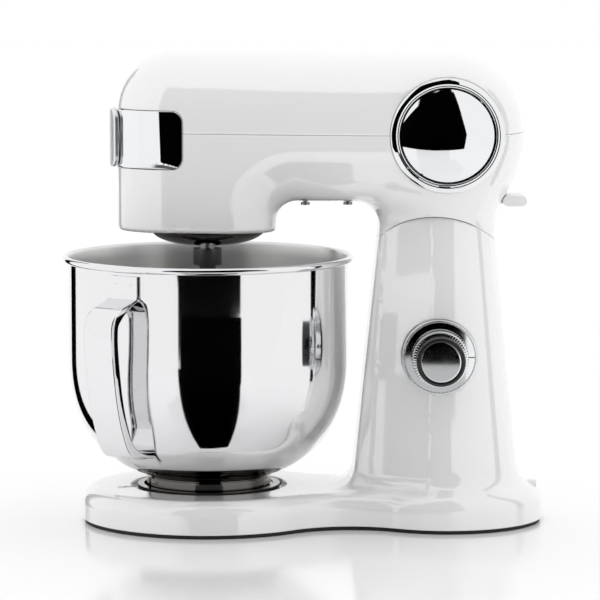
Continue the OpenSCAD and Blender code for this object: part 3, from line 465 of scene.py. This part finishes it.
def arc(x, y, r, start, stop, steps):
    """Points on an arc, in degrees, ends included."""
    turn = [math.radians(mix(start, stop, i / steps)) for i in range(steps + 1)]
    return [(x + r * math.cos(t), y + r * math.sin(t)) for t in turn]


def rounded(profile, r, steps=5):
    """A closed outline with each corner rounded by up to r."""
    out, n = [], len(profile)
    for i in range(n):
        a, b, c = (np.array(profile[(i + k) % n], float) for k in (-1, 0, 1))
        before, after = a - b, c - b
        la, lc = np.linalg.norm(before), np.linalg.norm(after)
        reach = min(r, la * 0.45, lc * 0.45)
        s, e = b + before / la * reach, b + after / lc * reach
        for k in range(steps + 1):
            t = k / steps
            out.append(tuple((1 - t) ** 2 * s + 2 * t * (1 - t) * b + t * t * e))
    return out


# ---------------------------------------------------------------- finishes

def finish(name, colour, metallic=0.0, rough=0.3, rough_range=0.04, tint=0.03, scale=220,
           bump=0.02, stretch=(1, 1, 1), coat=0.0, brushed=0.0):
    """A material whose colour, roughness and relief vary a little over the surface."""
    material = bpy.data.materials.new(name)
    material.use_nodes = True
    nodes, links = material.node_tree.nodes, material.node_tree.links
    shader = nodes["Principled BSDF"]
    shader.inputs["Metallic"].default_value = metallic
    shader.inputs["Coat Weight"].default_value = coat
    shader.inputs["Coat Roughness"].default_value = 0.05
    shader.inputs["Coat IOR"].default_value = 1.85
    if brushed:
        shader.inputs["Anisotropic"].default_value = brushed
        shader.inputs["Anisotropic Rotation"].default_value = 0.25
        tangent = nodes.new("ShaderNodeTangent")
        tangent.direction_type = "RADIAL"
        tangent.axis = "Z"
        links.new(tangent.outputs[0], shader.inputs["Tangent"])
    place = nodes.new("ShaderNodeTexCoord")
    spread = nodes.new("ShaderNodeMapping")
    spread.inputs["Scale"].default_value = stretch
    links.new(place.outputs["Object"], spread.inputs["Vector"])
    noise = nodes.new("ShaderNodeTexNoise")
    noise.inputs["Scale"].default_value = scale
    noise.inputs["Detail"].default_value = 4
    links.new(spread.outputs["Vector"], noise.inputs["Vector"])
    broad = nodes.new("ShaderNodeTexNoise")
    broad.inputs["Scale"].default_value = 14
    links.new(place.outputs["Object"], broad.inputs["Vector"])
    shade = nodes.new("ShaderNodeMix")
    shade.data_type = "RGBA"
    shade.inputs["A"].default_value = (*[c * (1 - tint) for c in colour], 1)
    shade.inputs["B"].default_value = (*[min(1, c * (1 + tint)) for c in colour], 1)
    links.new(broad.outputs["Fac"], shade.inputs["Factor"])
    links.new(shade.outputs["Result"], shader.inputs["Base Color"])
    gloss = nodes.new("ShaderNodeMapRange")
    gloss.inputs["To Min"].default_value = max(0.0, rough - rough_range)
    gloss.inputs["To Max"].default_value = rough + rough_range
    links.new(noise.outputs["Fac"], gloss.inputs["Value"])
    links.new(gloss.outputs["Result"], shader.inputs["Roughness"])
    if bump:
        relief = nodes.new("ShaderNodeBump")
        relief.inputs["Strength"].default_value = bump
        relief.inputs["Distance"].default_value = 0.0004
        links.new(noise.outputs["Fac"], relief.inputs["Height"])
        links.new(relief.outputs["Normal"], shader.inputs["Normal"])
    return material


finish_of = {
    "body_paint": finish("body_paint", (0.93, 0.93, 0.93), rough=0.12, tint=0.012, scale=900,
                         bump=0.006, coat=1.0),
    "white_plastic": finish("white_plastic", (0.9, 0.9, 0.9), rough=0.25, scale=700, bump=0.02),
    "chrome": finish("chrome", (0.86, 0.87, 0.88), 1, 0.035, 0.015, 0.01, 120, 0.0),
    "dark_chrome": finish("dark_chrome", (0.15, 0.142, 0.135), 1, 0.07, 0.03, 0.05, 120, 0.004),
    "knob_black": finish("knob_black", (0.012, 0.012, 0.013), 0, 0.14, 0.05, 0.1, 500, 0.02),
    "bowl_steel": finish("bowl_steel", (0.84, 0.84, 0.85), 1, 0.06, 0.03, 0.015, 60, 0.004,
                         (1, 1, 14)),
    "beater_metal": finish("beater_metal", (0.1, 0.1, 0.102), 0.9, 0.22, 0.07, 0.05, 600, 0.06),
    "drive_steel": finish("drive_steel", (0.3, 0.3, 0.31), 1, 0.28, 0.1, 0.06, 400, 0.05),
    "cast_zinc": finish("cast_zinc", (0.45, 0.45, 0.46), 0.9, 0.45, 0.12, 0.08, 260, 0.25),
    "grey_plastic": finish("grey_plastic", (0.1, 0.1, 0.105), 0, 0.5, 0.1, 0.1, 900, 0.15),
    "rubber_black": finish("rubber_black", (0.012, 0.012, 0.012), 0, 0.7, 0.1, 0.2, 700, 0.2),
    "bronze": finish("bronze", (0.55, 0.36, 0.18), 0.9, 0.4, 0.1, 0.08, 500, 0.1),
    "copper": finish("copper", (0.62, 0.28, 0.13), 0.9, 0.3, 0.1, 0.1, 900, 0.2),
    "board_green": finish("board_green", (0.03, 0.17, 0.06), 0, 0.4, 0.1, 0.1, 500, 0.1),
}

slot_of = {part["node"]: part["material_slot"] for part in frame["record"]["subparts"]}
for node, piece in frame["nodes"].items():
    piece.data.materials.clear()
    piece.data.materials.append(finish_of[slot_of[node]])


# ---------------------------------------------------------------- head shells

def off_hinge(p):
    """Positive inside the tilt joint's clearance."""
    return seam_r + hinge_gap - np.hypot(p[:, 0] - tilt_x, p[:, 2] - tilt_z)


disc_r = (ring_high[2] - ring_low[2]) / 2
disc_x = (ring_high[0] + ring_low[0]) / 2
disc_z = (ring_high[2] + ring_low[2]) / 2
band_low, band_high = box_mm("nose_band")
band_corner = 9.0
disc_gap = 0.25
band_gap = 0.3
hole_gap = 0.2
housing_hole_r = 44.6
housing_hole_depth = 2.5
lever_hole_half = 9.5
lever_hole_x = 210.0
lever_hole_z = 252.0


def off_disc(p):
    return disc_r + disc_gap - np.hypot(p[:, 0] - disc_x, p[:, 2] - disc_z)


def window(p, grow):
    """Positive inside the nose band's outline, seen from the side, grown by grow."""
    mid, half = (band_high[2] + band_low[2]) / 2, (band_high[2] - band_low[2]) / 2 + grow
    u = p[:, 0] - (band_high[0] + grow) + band_corner
    v = np.abs(p[:, 2] - mid) - half + band_corner
    out = np.hypot(np.maximum(u, 0), np.maximum(v, 0)) + np.minimum(np.maximum(u, v), 0)
    return band_corner - out


def off_housing(p):
    return np.minimum(housing_hole_r - np.hypot(p[:, 0], p[:, 1]),
                      housing_z + housing_hole_depth - p[:, 2])


def off_lever(p):
    return np.minimum(np.minimum(lever_hole_half - np.abs(p[:, 1]), p[:, 0] - lever_hole_x),
                      lever_hole_z - p[:, 2])


STEP = 2.0
head_points, head_faces = surface(head_field, (-72, -71, 198), (242, 71, 364), STEP)
for cut in (off_hinge, off_disc, lambda p: window(p, band_gap)):
    head_points, head_faces = clip(head_points, head_faces, cut)
top = clip(head_points, head_faces, lambda p: drum_z + shown_gap - p[:, 2])
add("head_top", *shell(head_field, *top, wall), "head", "body_paint", "head_top_shell")
lower = clip(head_points, head_faces, lambda p: p[:, 2] - drum_z + shown_gap)
for cut in (off_housing, off_lever):
    lower = clip(*lower, cut)
add("head_lower", *shell(head_field, *lower, wall), "head", "body_paint", "head_lower_shell")


# ---------------------------------------------------------------- column and base, one casting

def off_dome(p):
    return np.hypot(p[:, 0] - tilt_x, p[:, 2] - tilt_z) - seam_r


def over_hinge(p):
    """Positive above the tilt joint's dome."""
    return np.where(p[:, 2] > tilt_z, off_dome(p), -20.0)


surround_low, surround_high = box_mm("dial_surround")
dial_hole = (surround_high[2] - surround_low[2]) / 2 + hole_gap
seat_hole = box_mm("bowl_seat")[1][0] + hole_gap


def off_dial(p):
    return np.minimum(dial_hole - np.hypot(p[:, 0] - dial_x, p[:, 2] - dial_z), -20 - p[:, 1])


def off_seat(p):
    return np.minimum(seat_hole - np.hypot(p[:, 0], p[:, 1]), p[:, 2] - 20)


stand = surface(stand_field, (-101, -101, -3), (261, 101, 243), STEP)
for cut in (over_hinge, off_dial, off_seat, lambda p: foot_h - p[:, 2]):
    stand = clip(*stand, cut)
add("stand_casting", *shell(stand_field, *stand, wall), "stand", "body_paint",
    "base_shell", "column_shell")


# ---------------------------------------------------------------- nose band, cover and drip dome

def patch(place, rows, columns):
    """Triangles on the surface place(u, v), with u and v from 0 to 1."""
    u, v = np.meshgrid(np.linspace(0, 1, rows), np.linspace(0, 1, columns), indexing="ij")
    points = place(u.ravel(), v.ravel())
    faces = []
    for i in range(rows - 1):
        for k in range(columns - 1):
            a = i * columns + k
            b = a + columns
            faces += [(a, b, b + 1), (a, b + 1, a + 1)]
    return points, np.array(faces)


band_r = nose_r + 1
band_mid = (band_high[0] + band_low[0]) / 2


def band_radius(x, z):
    """The band's radius, less a scooped bevel along its lower edge."""
    scoop = 5.5 * np.maximum(0, 1 - ((x - band_mid) / (band_high[0] - band_mid)) ** 2)
    return band_r - 0.55 * np.maximum(0, band_low[2] + scoop - z)


def band_field(p):
    d = np.hypot(np.minimum(p[:, 0] - nose_x, 0), p[:, 1])
    return d - band_radius(p[:, 0], p[:, 2])


def band_place(u, v):
    """From the band's rear edge on one side, round the nose, to the other side."""
    quarter = band_r * math.pi / 2
    straight = band_high[0] + 1 - nose_x
    along = (u * 2 - 1) * (quarter + straight)
    turn = np.clip(along / band_r, -math.pi / 2, math.pi / 2)
    beyond = np.maximum(np.abs(along) - quarter, 0)
    z = mix(band_low[2] - 1, band_high[2] + 1, v)
    x = nose_x - band_r * np.cos(turn) + beyond
    r = band_radius(x, z) / band_r
    return np.stack([nose_x + (x - nose_x) * np.where(x < nose_x, r, 1),
                     -band_r * np.sin(turn) * r, z], 1)


band = patch(band_place, 190, 61)
band = clip(*band, lambda p: -window(p, 0), snap=0.15)
cover_low, cover_high = box_mm("port_cover")
port_z = (cover_low[2] + cover_high[2]) / 2
port_hole_r = 19.4


def off_port(p):
    hole = port_hole_r - np.hypot(p[:, 1], p[:, 2] - port_z)
    return np.where(p[:, 0] < nose_x, hole, -20.0)


band = clip(*band, off_port, snap=0.1)
add("nose_band_trim", *shell(band_field, *band, 3.6, 0.35), "head", "chrome", "nose_band",
    sharp=24, turn_out=True)


def cover_field(p):
    """A plate bent round the nose, with rounded corners and edges."""
    x, y, z = p[:, 0] - nose_x, p[:, 1], np.abs(p[:, 2] - port_z)
    outer, inner = nose_x - cover_low[0], nose_r + 1.5
    across = (outer + inner) / 2 * np.abs(np.arctan2(y, -x))
    corner, edge = 9.0, 1.7
    u = across - cover_high[1] + corner
    v = z - (cover_high[2] - cover_low[2]) / 2 + corner
    plan = np.hypot(np.maximum(u, 0), np.maximum(v, 0)) + np.minimum(np.maximum(u, v), 0) - corner
    deep = np.abs(np.hypot(x, y) - (outer + inner) / 2) - (outer - inner) / 2
    a, b = plan + edge, deep + edge
    return np.hypot(np.maximum(a, 0), np.maximum(b, 0)) + np.minimum(np.maximum(a, b), 0) - edge


cover = add("nose_cover", *surface(cover_field, cover_low - 2.3, cover_high + 2.3, 0.8), "cover",
            "chrome", "port_cover")
cover.data.materials[0] = finish("cover_satin", (0.8, 0.81, 0.82), 1, 0.32, 0.04, 0.02, 300, 0.02)

dome_low, dome_high = box_mm("drip_dome")
dome_r = dome_high[0]
dome_skin = 1.2
shaft_hole_r = 8.9
dome_depth = dome_high[2] - dome_skin - dome_low[2]
beater_y = joint_mm("beater_spin")[1]


def dome_field(p):
    r = np.minimum(np.hypot(p[:, 0], p[:, 1]) / dome_r, 0.999)
    return dome_high[2] - dome_skin - dome_depth * (1 - r ** 3) ** (1 / 1.6) - p[:, 2]


def dome_place(u, v):
    r, turn = 0.997 * dome_r * (1 - (1 - u) ** 1.6) + 0.01, v * 2 * math.pi
    flat = np.stack([r * np.cos(turn), r * np.sin(turn), 0 * r], 1)
    flat[:, 2] = dome_field(flat)
    return flat


def weld(points, faces):
    """Joins vertices that lie on one another."""
    _, first, number = np.unique(np.round(points, 3), axis=0, return_index=True,
                                 return_inverse=True)
    faces = number.reshape(-1)[faces]
    a, b, c = faces.T
    whole = (a != b) & (b != c) & (a != c)
    return points[first], faces[whole]


dome = weld(*patch(dome_place, 40, 145))
dome = clip(*dome, lambda p: shaft_hole_r - np.hypot(p[:, 0], p[:, 1] - beater_y), snap=0.1)
add("drip_dome_pressing", *shell(dome_field, *dome, 1.3, 0.2), "planet", "dark_chrome",
    "drip_dome", turn_out=True)


# ---------------------------------------------------------------- round plates on the head

ring_w = 7.2
plate_r = disc_r - ring_w
plate_bulge = 8.5
plate_sunk = 2.2
for side, name in ((1, "left"), (-1, "right")):
    outer_y = ring_high[1]
    inner_y = ring_low[1]
    ring = [(plate_r, inner_y), (disc_r, inner_y), (disc_r, outer_y - 2.6)]
    ring += arc(disc_r - 0.6, outer_y - 2.6, 0.6, 10, 60, 3)
    ring += [(disc_r - 2.0, outer_y - 1.4), (disc_r - 3.6, outer_y - 0.8),
             (disc_r - 3.9, outer_y - 1.2)]
    ring += arc(plate_r + 1.6, outer_y - 1.5, 1.5, 75, 130, 6)
    ring += [(plate_r + 0.1, outer_y - 1.9)]
    axis = "y" if side > 0 else "-y"
    add(f"plate_ring_{name}", *lathe(ring, origin=(disc_x, 0, disc_z), along=axis), "head",
        "chrome", f"disc_ring_{name}", sharp=20, turn_out=True)
    low_y = outer_y - plate_sunk
    sphere_r = (plate_r ** 2 + plate_bulge ** 2) / (2 * plate_bulge)
    plate = [(0.01, low_y - 1.5), (plate_r - 0.3, low_y - 1.5)]
    plate += [(r, low_y + math.sqrt(sphere_r ** 2 - r * r) - sphere_r + plate_bulge)
              for r in np.linspace(plate_r - 0.3, 0.01, 24)]
    add(f"plate_face_{name}", *lathe(plate, origin=(disc_x, 0, disc_z), along=axis), "head",
        "chrome", f"disc_plate_{name}", sharp=35, turn_out=True)


# ---------------------------------------------------------------- speed dial

dial_at = (dial_x, 0, dial_z)
knob_low, knob_high = box_mm("dial_knob")
grip_low, grip_high = box_mm("dial_grip")
surround_r = (surround_high[2] - surround_low[2]) / 2
plate_y = -surround_low[1]
grip_y0, grip_y1, front_y = -grip_high[1], -grip_low[1], -knob_low[1]
grip_r = (grip_high[2] - grip_low[2]) / 2
knob_r = knob_high[2] - dial_z

surround = [(11.5, 45), (surround_r, 45), (surround_r, plate_y - 2.2)]
surround += arc(surround_r - 0.9, plate_y - 0.9, 0.9, 0, 150, 8)
surround += [(surround_r - 2.0, plate_y - 1.2), (surround_r - 2.4, plate_y - 1.2),
             (11.5, plate_y - 1.2)]
add("dial_surround_trim", *lathe(surround, origin=dial_at, along="-y"), "stand", "chrome",
    "dial_surround", sharp=28, turn_out=True)
line_x = [surround_r - 6.6, surround_r - 2.1]
mark = [(dial_x + x, -plate_y + 1.2 - y, dial_z + z)
        for x in line_x for y in (-0.5, 0.12) for z in (-0.35, 0.35)]
add("dial_index", mark, [(0, 1, 3, 2), (4, 6, 7, 5), (0, 4, 5, 1), (2, 3, 7, 6), (0, 2, 6, 4),
                         (1, 5, 7, 3)], "stand", "knob_black", turn_out=True)
grip = [(15.9, grip_y0), (grip_r - 0.6, grip_y0)] + arc(grip_r - 1, grip_y0 + 1, 1, -60, 0, 3)
grip += arc(grip_r - 1.4, grip_y1 - 1.4, 1.4, 0, 90, 6) + [(15.9, grip_y1)]
add("dial_grip_ring", *lathe(grip, 720, dial_at, "-y", 60, 0.7, grip_r - 1.6), "dial", "chrome",
    "dial_grip", sharp=30, turn_out=True)
knob = [(3.05, grip_y0), (15.9, grip_y0), (15.9, grip_y1), (knob_r, grip_y1 + 0.2)]
knob += arc(knob_r - 1.5, front_y - 1.5, 1.5, 0, 90, 6)
knob += arc(knob_r - 2.6, front_y - 0.5, 0.5, 90, 180, 3)
knob += [(knob_r - 3.1, front_y - 2), (3.05, front_y - 2)]
add("dial_knob_body", *lathe(knob, 256, dial_at, "-y"), "dial", "knob_black", "dial_knob",
    sharp=40, turn_out=True)
face_r = knob_r - 3.15
face = [(0.01, front_y - 2), (face_r, front_y - 2)]
face += arc(face_r - 0.7, front_y - 1.1, 0.7, 0, 90, 5)
face += [(face_r - 1.2, front_y - 0.4), (face_r - 1.5, front_y - 0.4), (0.01, front_y - 0.4)]
add("dial_face_mirror", *lathe(face, 256, dial_at, "-y"), "dial", "chrome", "dial_face",
    sharp=35, turn_out=True)


# ---------------------------------------------------------------- bowl and its handle

bowl_t = 1.0
curve_z = 131.0
curve_h = curve_z - bowl_low[2]
rim_r = 2.6
rim_offset = 1.9
bowl_r = bowl_high[0] - rim_offset - rim_r
rim_z = bowl_high[2] - rim_r


def bowl_curve(inset, steps=60):
    """From the wall down to the axis: a superellipse with exponent 2.5."""
    out = []
    for i in range(steps + 1):
        a = math.pi / 2 * i / steps
        out.append(((bowl_r - inset) * max(math.cos(a), 1e-5) ** 0.8,
                    curve_z - (curve_h - inset) * math.sin(a) ** 0.8))
    return out


rim_end = -math.degrees(math.acos(-rim_offset / rim_r))
bowl = arc(bowl_r + rim_offset, rim_z, rim_r, 180, rim_end, 28)
bowl += [(bowl_r, mix(rim_z - 3, curve_z, k / 12)) for k in range(1, 12)]
outside = bowl + bowl_curve(0)
inside = bowl_curve(bowl_t)[::-1] + [(bowl_r - bowl_t, mix(curve_z, rim_z - 1, k / 10))
                                     for k in range(1, 11)]
bowl_points, bowl_faces = lathe(outside + inside, 256)
bowl_piece = add("bowl_pressing", bowl_points, bowl_faces, "bowl", "bowl_steel", "bowl_shell",
                 sharp=40, turn_out=True)
bowl_piece.data.materials.append(finish("bowl_inside", (0.78, 0.775, 0.77), 1, 0.34, 0.06, 0.06, 60,
                                        0.01, (1, 1, 14), brushed=0.85))
for polygon in bowl_piece.data.polygons:
    flat = math.hypot(polygon.center.x, polygon.center.y)
    if polygon.normal.x * polygon.center.x + polygon.normal.y * polygon.center.y < -0.1 * flat or (
            polygon.normal.z > 0.3 and polygon.center.z < (rim_z - 3) * MM):
        polygon.material_index = 1


def bowl_outer_r(z):
    return bowl_r * (1 - ((curve_z - z) / curve_h) ** 2.5) ** 0.4


# The handle's strip, seen from its side, as radius from the bowl's axis and height
handle_out = 0.4
handle_line = [
    (bowl_r + handle_out, 196.5), (bowl_r + handle_out, 178.5), (131, 171.5), (138.5, 164),
    (138, 140), (131, 96), (118, 65), (106, 61.5),
    (bowl_outer_r(61) + 0.8, 61), (bowl_outer_r(53) + 0.8, 53)
]
handle_reach = [0, 3.5, 5, 14, 30, 30, 12, 6, 3, 0]
handle_half = 13.0
handle_t = 1.7
handle_turn = 34.3
weld_z = 190.4
weld_across = (-7.5, 6.5)


def smooth_line(corners, reach, steps=9):
    """A path through straight runs with each corner rounded over its reach."""
    out = [np.array(corners[0], float)]
    for i in range(1, len(corners) - 1):
        a, b, c = (np.array(corners[i + k], float) for k in (-1, 0, 1))
        la, lc = np.linalg.norm(a - b), np.linalg.norm(c - b)
        s = b + (a - b) / la * min(reach[i], la * 0.49)
        e = b + (c - b) / lc * min(reach[i], lc * 0.49)
        for k in range(steps + 1):
            t = k / steps
            out.append((1 - t) ** 2 * s + 2 * t * (1 - t) * b + t * t * e)
    out.append(np.array(corners[-1], float))
    return np.array(out)


path = smooth_line(handle_line, handle_reach)
length = np.concatenate([[0], np.cumsum(np.linalg.norm(np.diff(path, axis=0), axis=1))])
evenly = np.linspace(0, length[-1], 150)
path = np.stack([np.interp(evenly, length, path[:, k]) for k in (0, 1)], 1)
heading = np.gradient(path, axis=0)
heading /= np.linalg.norm(heading, axis=1, keepdims=True)
away = np.stack([-heading[:, 1], heading[:, 0]], 1)
top_tab, grip_start = 20.0, 46.0
fold = smooth_step((evenly - top_tab) / (grip_start - top_tab)) * smooth_step(
    (length[-1] - 14 - evenly) / 26)


def handle_section(depth):
    """The strip's section across and outwards: its edges are folded back by depth."""
    w, t, r = handle_half, handle_t, 1.4
    outline = [(-w, -depth), (-w + t, -depth), (-w + t, 0), (w - t, 0), (w - t, -depth),
               (w, -depth), (w, t), (-w, t)]
    return rounded(outline, r if depth > 1 else 0.5, 4)


rings = []
turn = math.radians(-90 - handle_turn)
along_x, along_y = math.cos(turn), math.sin(turn)
for (r, z), (nr, nz), f in zip(path, away, fold):
    for across, out in handle_section(0.3 + 6.0 * f):
        rr, zz = r + nr * out, z + nz * out
        rings.append((rr * along_x - across * along_y, rr * along_y + across * along_x, zz))
count = len(handle_section(1))
handle_faces = [tuple(range(count - 1, -1, -1)),
                tuple(range((len(path) - 1) * count, len(path) * count))]
for i in range(len(path) - 1):
    for k in range(count):
        m = (k + 1) % count
        here, ahead = i * count, (i + 1) * count
        handle_faces.append((here + k, here + m, ahead + m, ahead + k))
add("bowl_handle_strip", rings, handle_faces, "bowl", "bowl_steel", "bowl_handle", sharp=32,
    turn_out=True)


# Two small spot welds on the handle's upper tab
for number, across in enumerate(weld_across):
    out = bowl_r + handle_out + handle_t
    dot = [(0.01, -0.4), (1.3, -0.4), (1.3, 0.0), (0.8, 0.25), (0.01, 0.3)]
    dot_points, dot_faces = lathe(dot, 24)
    x, y, z = dot_points.T
    placed = np.stack([(out + z) * along_x - (across + x) * along_y,
                       (out + z) * along_y + (across + x) * along_x, weld_z + y], 1)
    add(f"bowl_handle_weld_{number + 1}", placed, dot_faces, "bowl", "bowl_steel", turn_out=True)


# ---------------------------------------------------------------- camera, light and floor

# Camera, in metres
CAMERA_AT = (0.070, -2.991, 0.500)
CAMERA_AIM = (0.070, 0, 0.169)
CAMERA_LENS = 236.4

# Sky: plain white to the camera, white with a dark sector towards -Y in reflections, and to
# everything else a soft light that is weaker from the front
DARK_HALF_DEG = 35
DARK_TOP = 0.72
SOFT_BASE = 1.13
SOFT_FROM_ABOVE = 0.02
FRONT_DIMMING = 0.35

scene = bpy.context.scene
scene.view_settings.view_transform = "Standard"
camera_data = bpy.data.cameras.new("camera")
camera_data.sensor_width = 36
camera_data.lens = CAMERA_LENS
camera = bpy.data.objects.new("camera", camera_data)
scene.collection.objects.link(camera)
scene.camera = camera
camera.location = CAMERA_AT
aim = Vector(CAMERA_AIM) - camera.location
camera.rotation_euler = aim.to_track_quat("-Z", "Y").to_euler()
camera_data.clip_end = 100

world = bpy.data.worlds.new("studio")
scene.world = world
world.use_nodes = True
wn, wl = world.node_tree.nodes, world.node_tree.links
wn.clear()
where = wn.new("ShaderNodeTexCoord")
split = wn.new("ShaderNodeSeparateXYZ")
wl.new(where.outputs["Generated"], split.inputs["Vector"])


def sum_node(kind, a, b=None, clamp=False):
    node = wn.new("ShaderNodeMath")
    node.operation = kind
    node.use_clamp = clamp
    for socket, value in zip(node.inputs, (a, b)):
        if value is None:
            continue
        if isinstance(value, (int, float)):
            socket.default_value = value
        else:
            wl.new(value, socket)
    return node.outputs[0]


def front_sector(half_deg, soft_deg=2.0):
    """1 in the directions within half_deg of -Y, seen from above."""
    back = sum_node("MULTIPLY", split.outputs["Y"], -1.0)
    angle = sum_node("ARCTAN2", split.outputs["X"], back)
    inside = sum_node("SUBTRACT", math.radians(half_deg), sum_node("ABSOLUTE", angle))
    return sum_node("ADD", sum_node("MULTIPLY", inside, 1 / math.radians(soft_deg)), 0.5, True)


low_sky = sum_node("ADD", sum_node("MULTIPLY", sum_node(
    "SUBTRACT", DARK_TOP, split.outputs["Z"]), 25.0), 0.5, True)
dark = sum_node("MULTIPLY", front_sector(DARK_HALF_DEG), low_sky)
mirrored = wn.new("ShaderNodeBackground")
wl.new(sum_node("SUBTRACT", 1.0, dark), mirrored.inputs["Strength"])

toward_front = sum_node("MAXIMUM", sum_node("MULTIPLY", split.outputs["Y"], -1.0), 0.0)
from_above = sum_node("ADD", sum_node("MULTIPLY", split.outputs["Z"], SOFT_FROM_ABOVE),
                      SOFT_BASE)
soft = wn.new("ShaderNodeBackground")
wl.new(sum_node("MULTIPLY", from_above, sum_node("SUBTRACT", 1.0, sum_node(
    "MULTIPLY", toward_front, FRONT_DIMMING))), soft.inputs["Strength"])
plain = wn.new("ShaderNodeBackground")
for light in (mirrored, soft, plain):
    light.inputs["Color"].default_value = (1, 1, 1, 1)
ray = wn.new("ShaderNodeLightPath")


def choose(flag, when_not, when):
    node = wn.new("ShaderNodeMixShader")
    wl.new(ray.outputs[flag], node.inputs["Fac"])
    wl.new(when_not.outputs[0], node.inputs[1])
    wl.new(when.outputs[0], node.inputs[2])
    return node


out = wn.new("ShaderNodeOutputWorld")
wl.new(choose("Is Camera Ray", choose("Is Glossy Ray", soft, mirrored), plain).outputs[0],
       out.inputs["Surface"])


def card(name, faces, bright, facing):
    """A studio card that only reflections see, and only from the side that facing points to."""
    mesh = bpy.data.meshes.new(name)
    corners = []
    for face in faces:
        a, b, c = (Vector(point) for point in face[:3])
        turned = (b - a).cross(c - b).dot(Vector(facing)) < 0
        corners += [tuple(at * MM for at in point) for point in (face[::-1] if turned else face)]
    mesh.from_pydata(corners, [], [tuple(range(4 * i, 4 * i + 4)) for i in range(len(faces))])
    material = bpy.data.materials.new(name)
    material.use_nodes = True
    nodes, links = material.node_tree.nodes, material.node_tree.links
    nodes.clear()
    glow = nodes.new("ShaderNodeEmission")
    glow.inputs["Strength"].default_value = bright
    clear = nodes.new("ShaderNodeBsdfTransparent")
    rear = nodes.new("ShaderNodeNewGeometry")
    one_sided = nodes.new("ShaderNodeMixShader")
    end = nodes.new("ShaderNodeOutputMaterial")
    links.new(rear.outputs["Backfacing"], one_sided.inputs["Fac"])
    links.new(glow.outputs[0], one_sided.inputs[1])
    links.new(clear.outputs[0], one_sided.inputs[2])
    links.new(one_sided.outputs[0], end.inputs["Surface"])
    mesh.materials.append(material)
    piece = bpy.data.objects.new(name, mesh)
    scene.collection.objects.link(piece)
    piece.visible_camera = piece.visible_diffuse = piece.visible_shadow = False
    piece.visible_transmission = False


def upright(y, *corners):
    return [(x, y, z) for x, z in corners]


def level(z, *corners):
    return [(x, y, z) for x, y in corners]


WALL_Y, WALL_END, WALL_TOP = -710, 2600, 2200
right_edge = [(222, 0), (222, 80), (343, 92), (343, 125), (459, 270), (400, 500), (274, 1200)]
left_edge = [(-280, 0), (-280, 120), (-419, 240), (-500, 310), (-450, 500), (-280, 1200)]
wall_faces = [upright(WALL_Y, (-280, 1200), (274, 1200), (274, WALL_TOP), (-280, WALL_TOP))]
for end, edge in ((WALL_END, right_edge), (-WALL_END, left_edge)):
    for (x0, z0), (x1, z1) in zip(edge, edge[1:] + [(edge[-1][0], WALL_TOP)]):
        wall_faces.append(upright(WALL_Y, (x0, z0), (end, z0), (end, z1), (x1, z1)))
card("soft_wall", wall_faces, 1.0, (0, 1, 0))
card("black_card", [upright(-200, (-53, 0), (80, 0), (76, 115), (-62, 115)),
                    upright(-130, (-28, 110), (41, 110), (41, 164), (-28, 164))], 0.0, (0, 1, 0))
# A black card up beside the camera's line, seen in the round plate and in the nose band
card("black_plate_card", [upright(-300, (-165, 196), (275, 216), (285, 282), (-165, 300)),
                          upright(-300, (-165, 300), (285, 282), (257, 394), (-100, 386)),
                          upright(-300, (-100, 386), (257, 394), (203, 640), (60, 530))], 0.0,
     (0, 1, 0))
card("black_floor_card", [level(0.5, (-10, -108), (31, -108), (80, -200), (-53, -200))], 0.0,
     (0, 0, 1))
# Narrow black flags beside and behind the bowl, and a strip on the floor, that edge it with dark
card("black_flag_right", [[(600, -36, 0), (600, 48, 0), (600, 48, 700), (600, -36, 700)]], 0.0,
     (-1, 0, 0))
card("black_floor_strip", [level(0.5, (-150, 60), (-175, 25), (-560, 494), (-419, 590))], 0.0,
     (0, 0, 1))
card("black_flag_left", [[(-560, 494, 0), (-419, 590, 0), (-419, 590, 700), (-560, 494, 700)]], 0.0,
     (1, -1, 0))

floor_mesh = bpy.data.meshes.new("floor")
floor_mesh.from_pydata([(-6, -1.11, 0), (6, -1.11, 0), (6, 8, 0), (-6, 8, 0)], [], [(0, 1, 2, 3)])
floor = bpy.data.objects.new("floor", floor_mesh)
scene.collection.objects.link(floor)
floor_mesh.materials.append(finish("floor_white", (0.97, 0.97, 0.975), 0, 0.12, 0.02, 0.003, 30, 0))
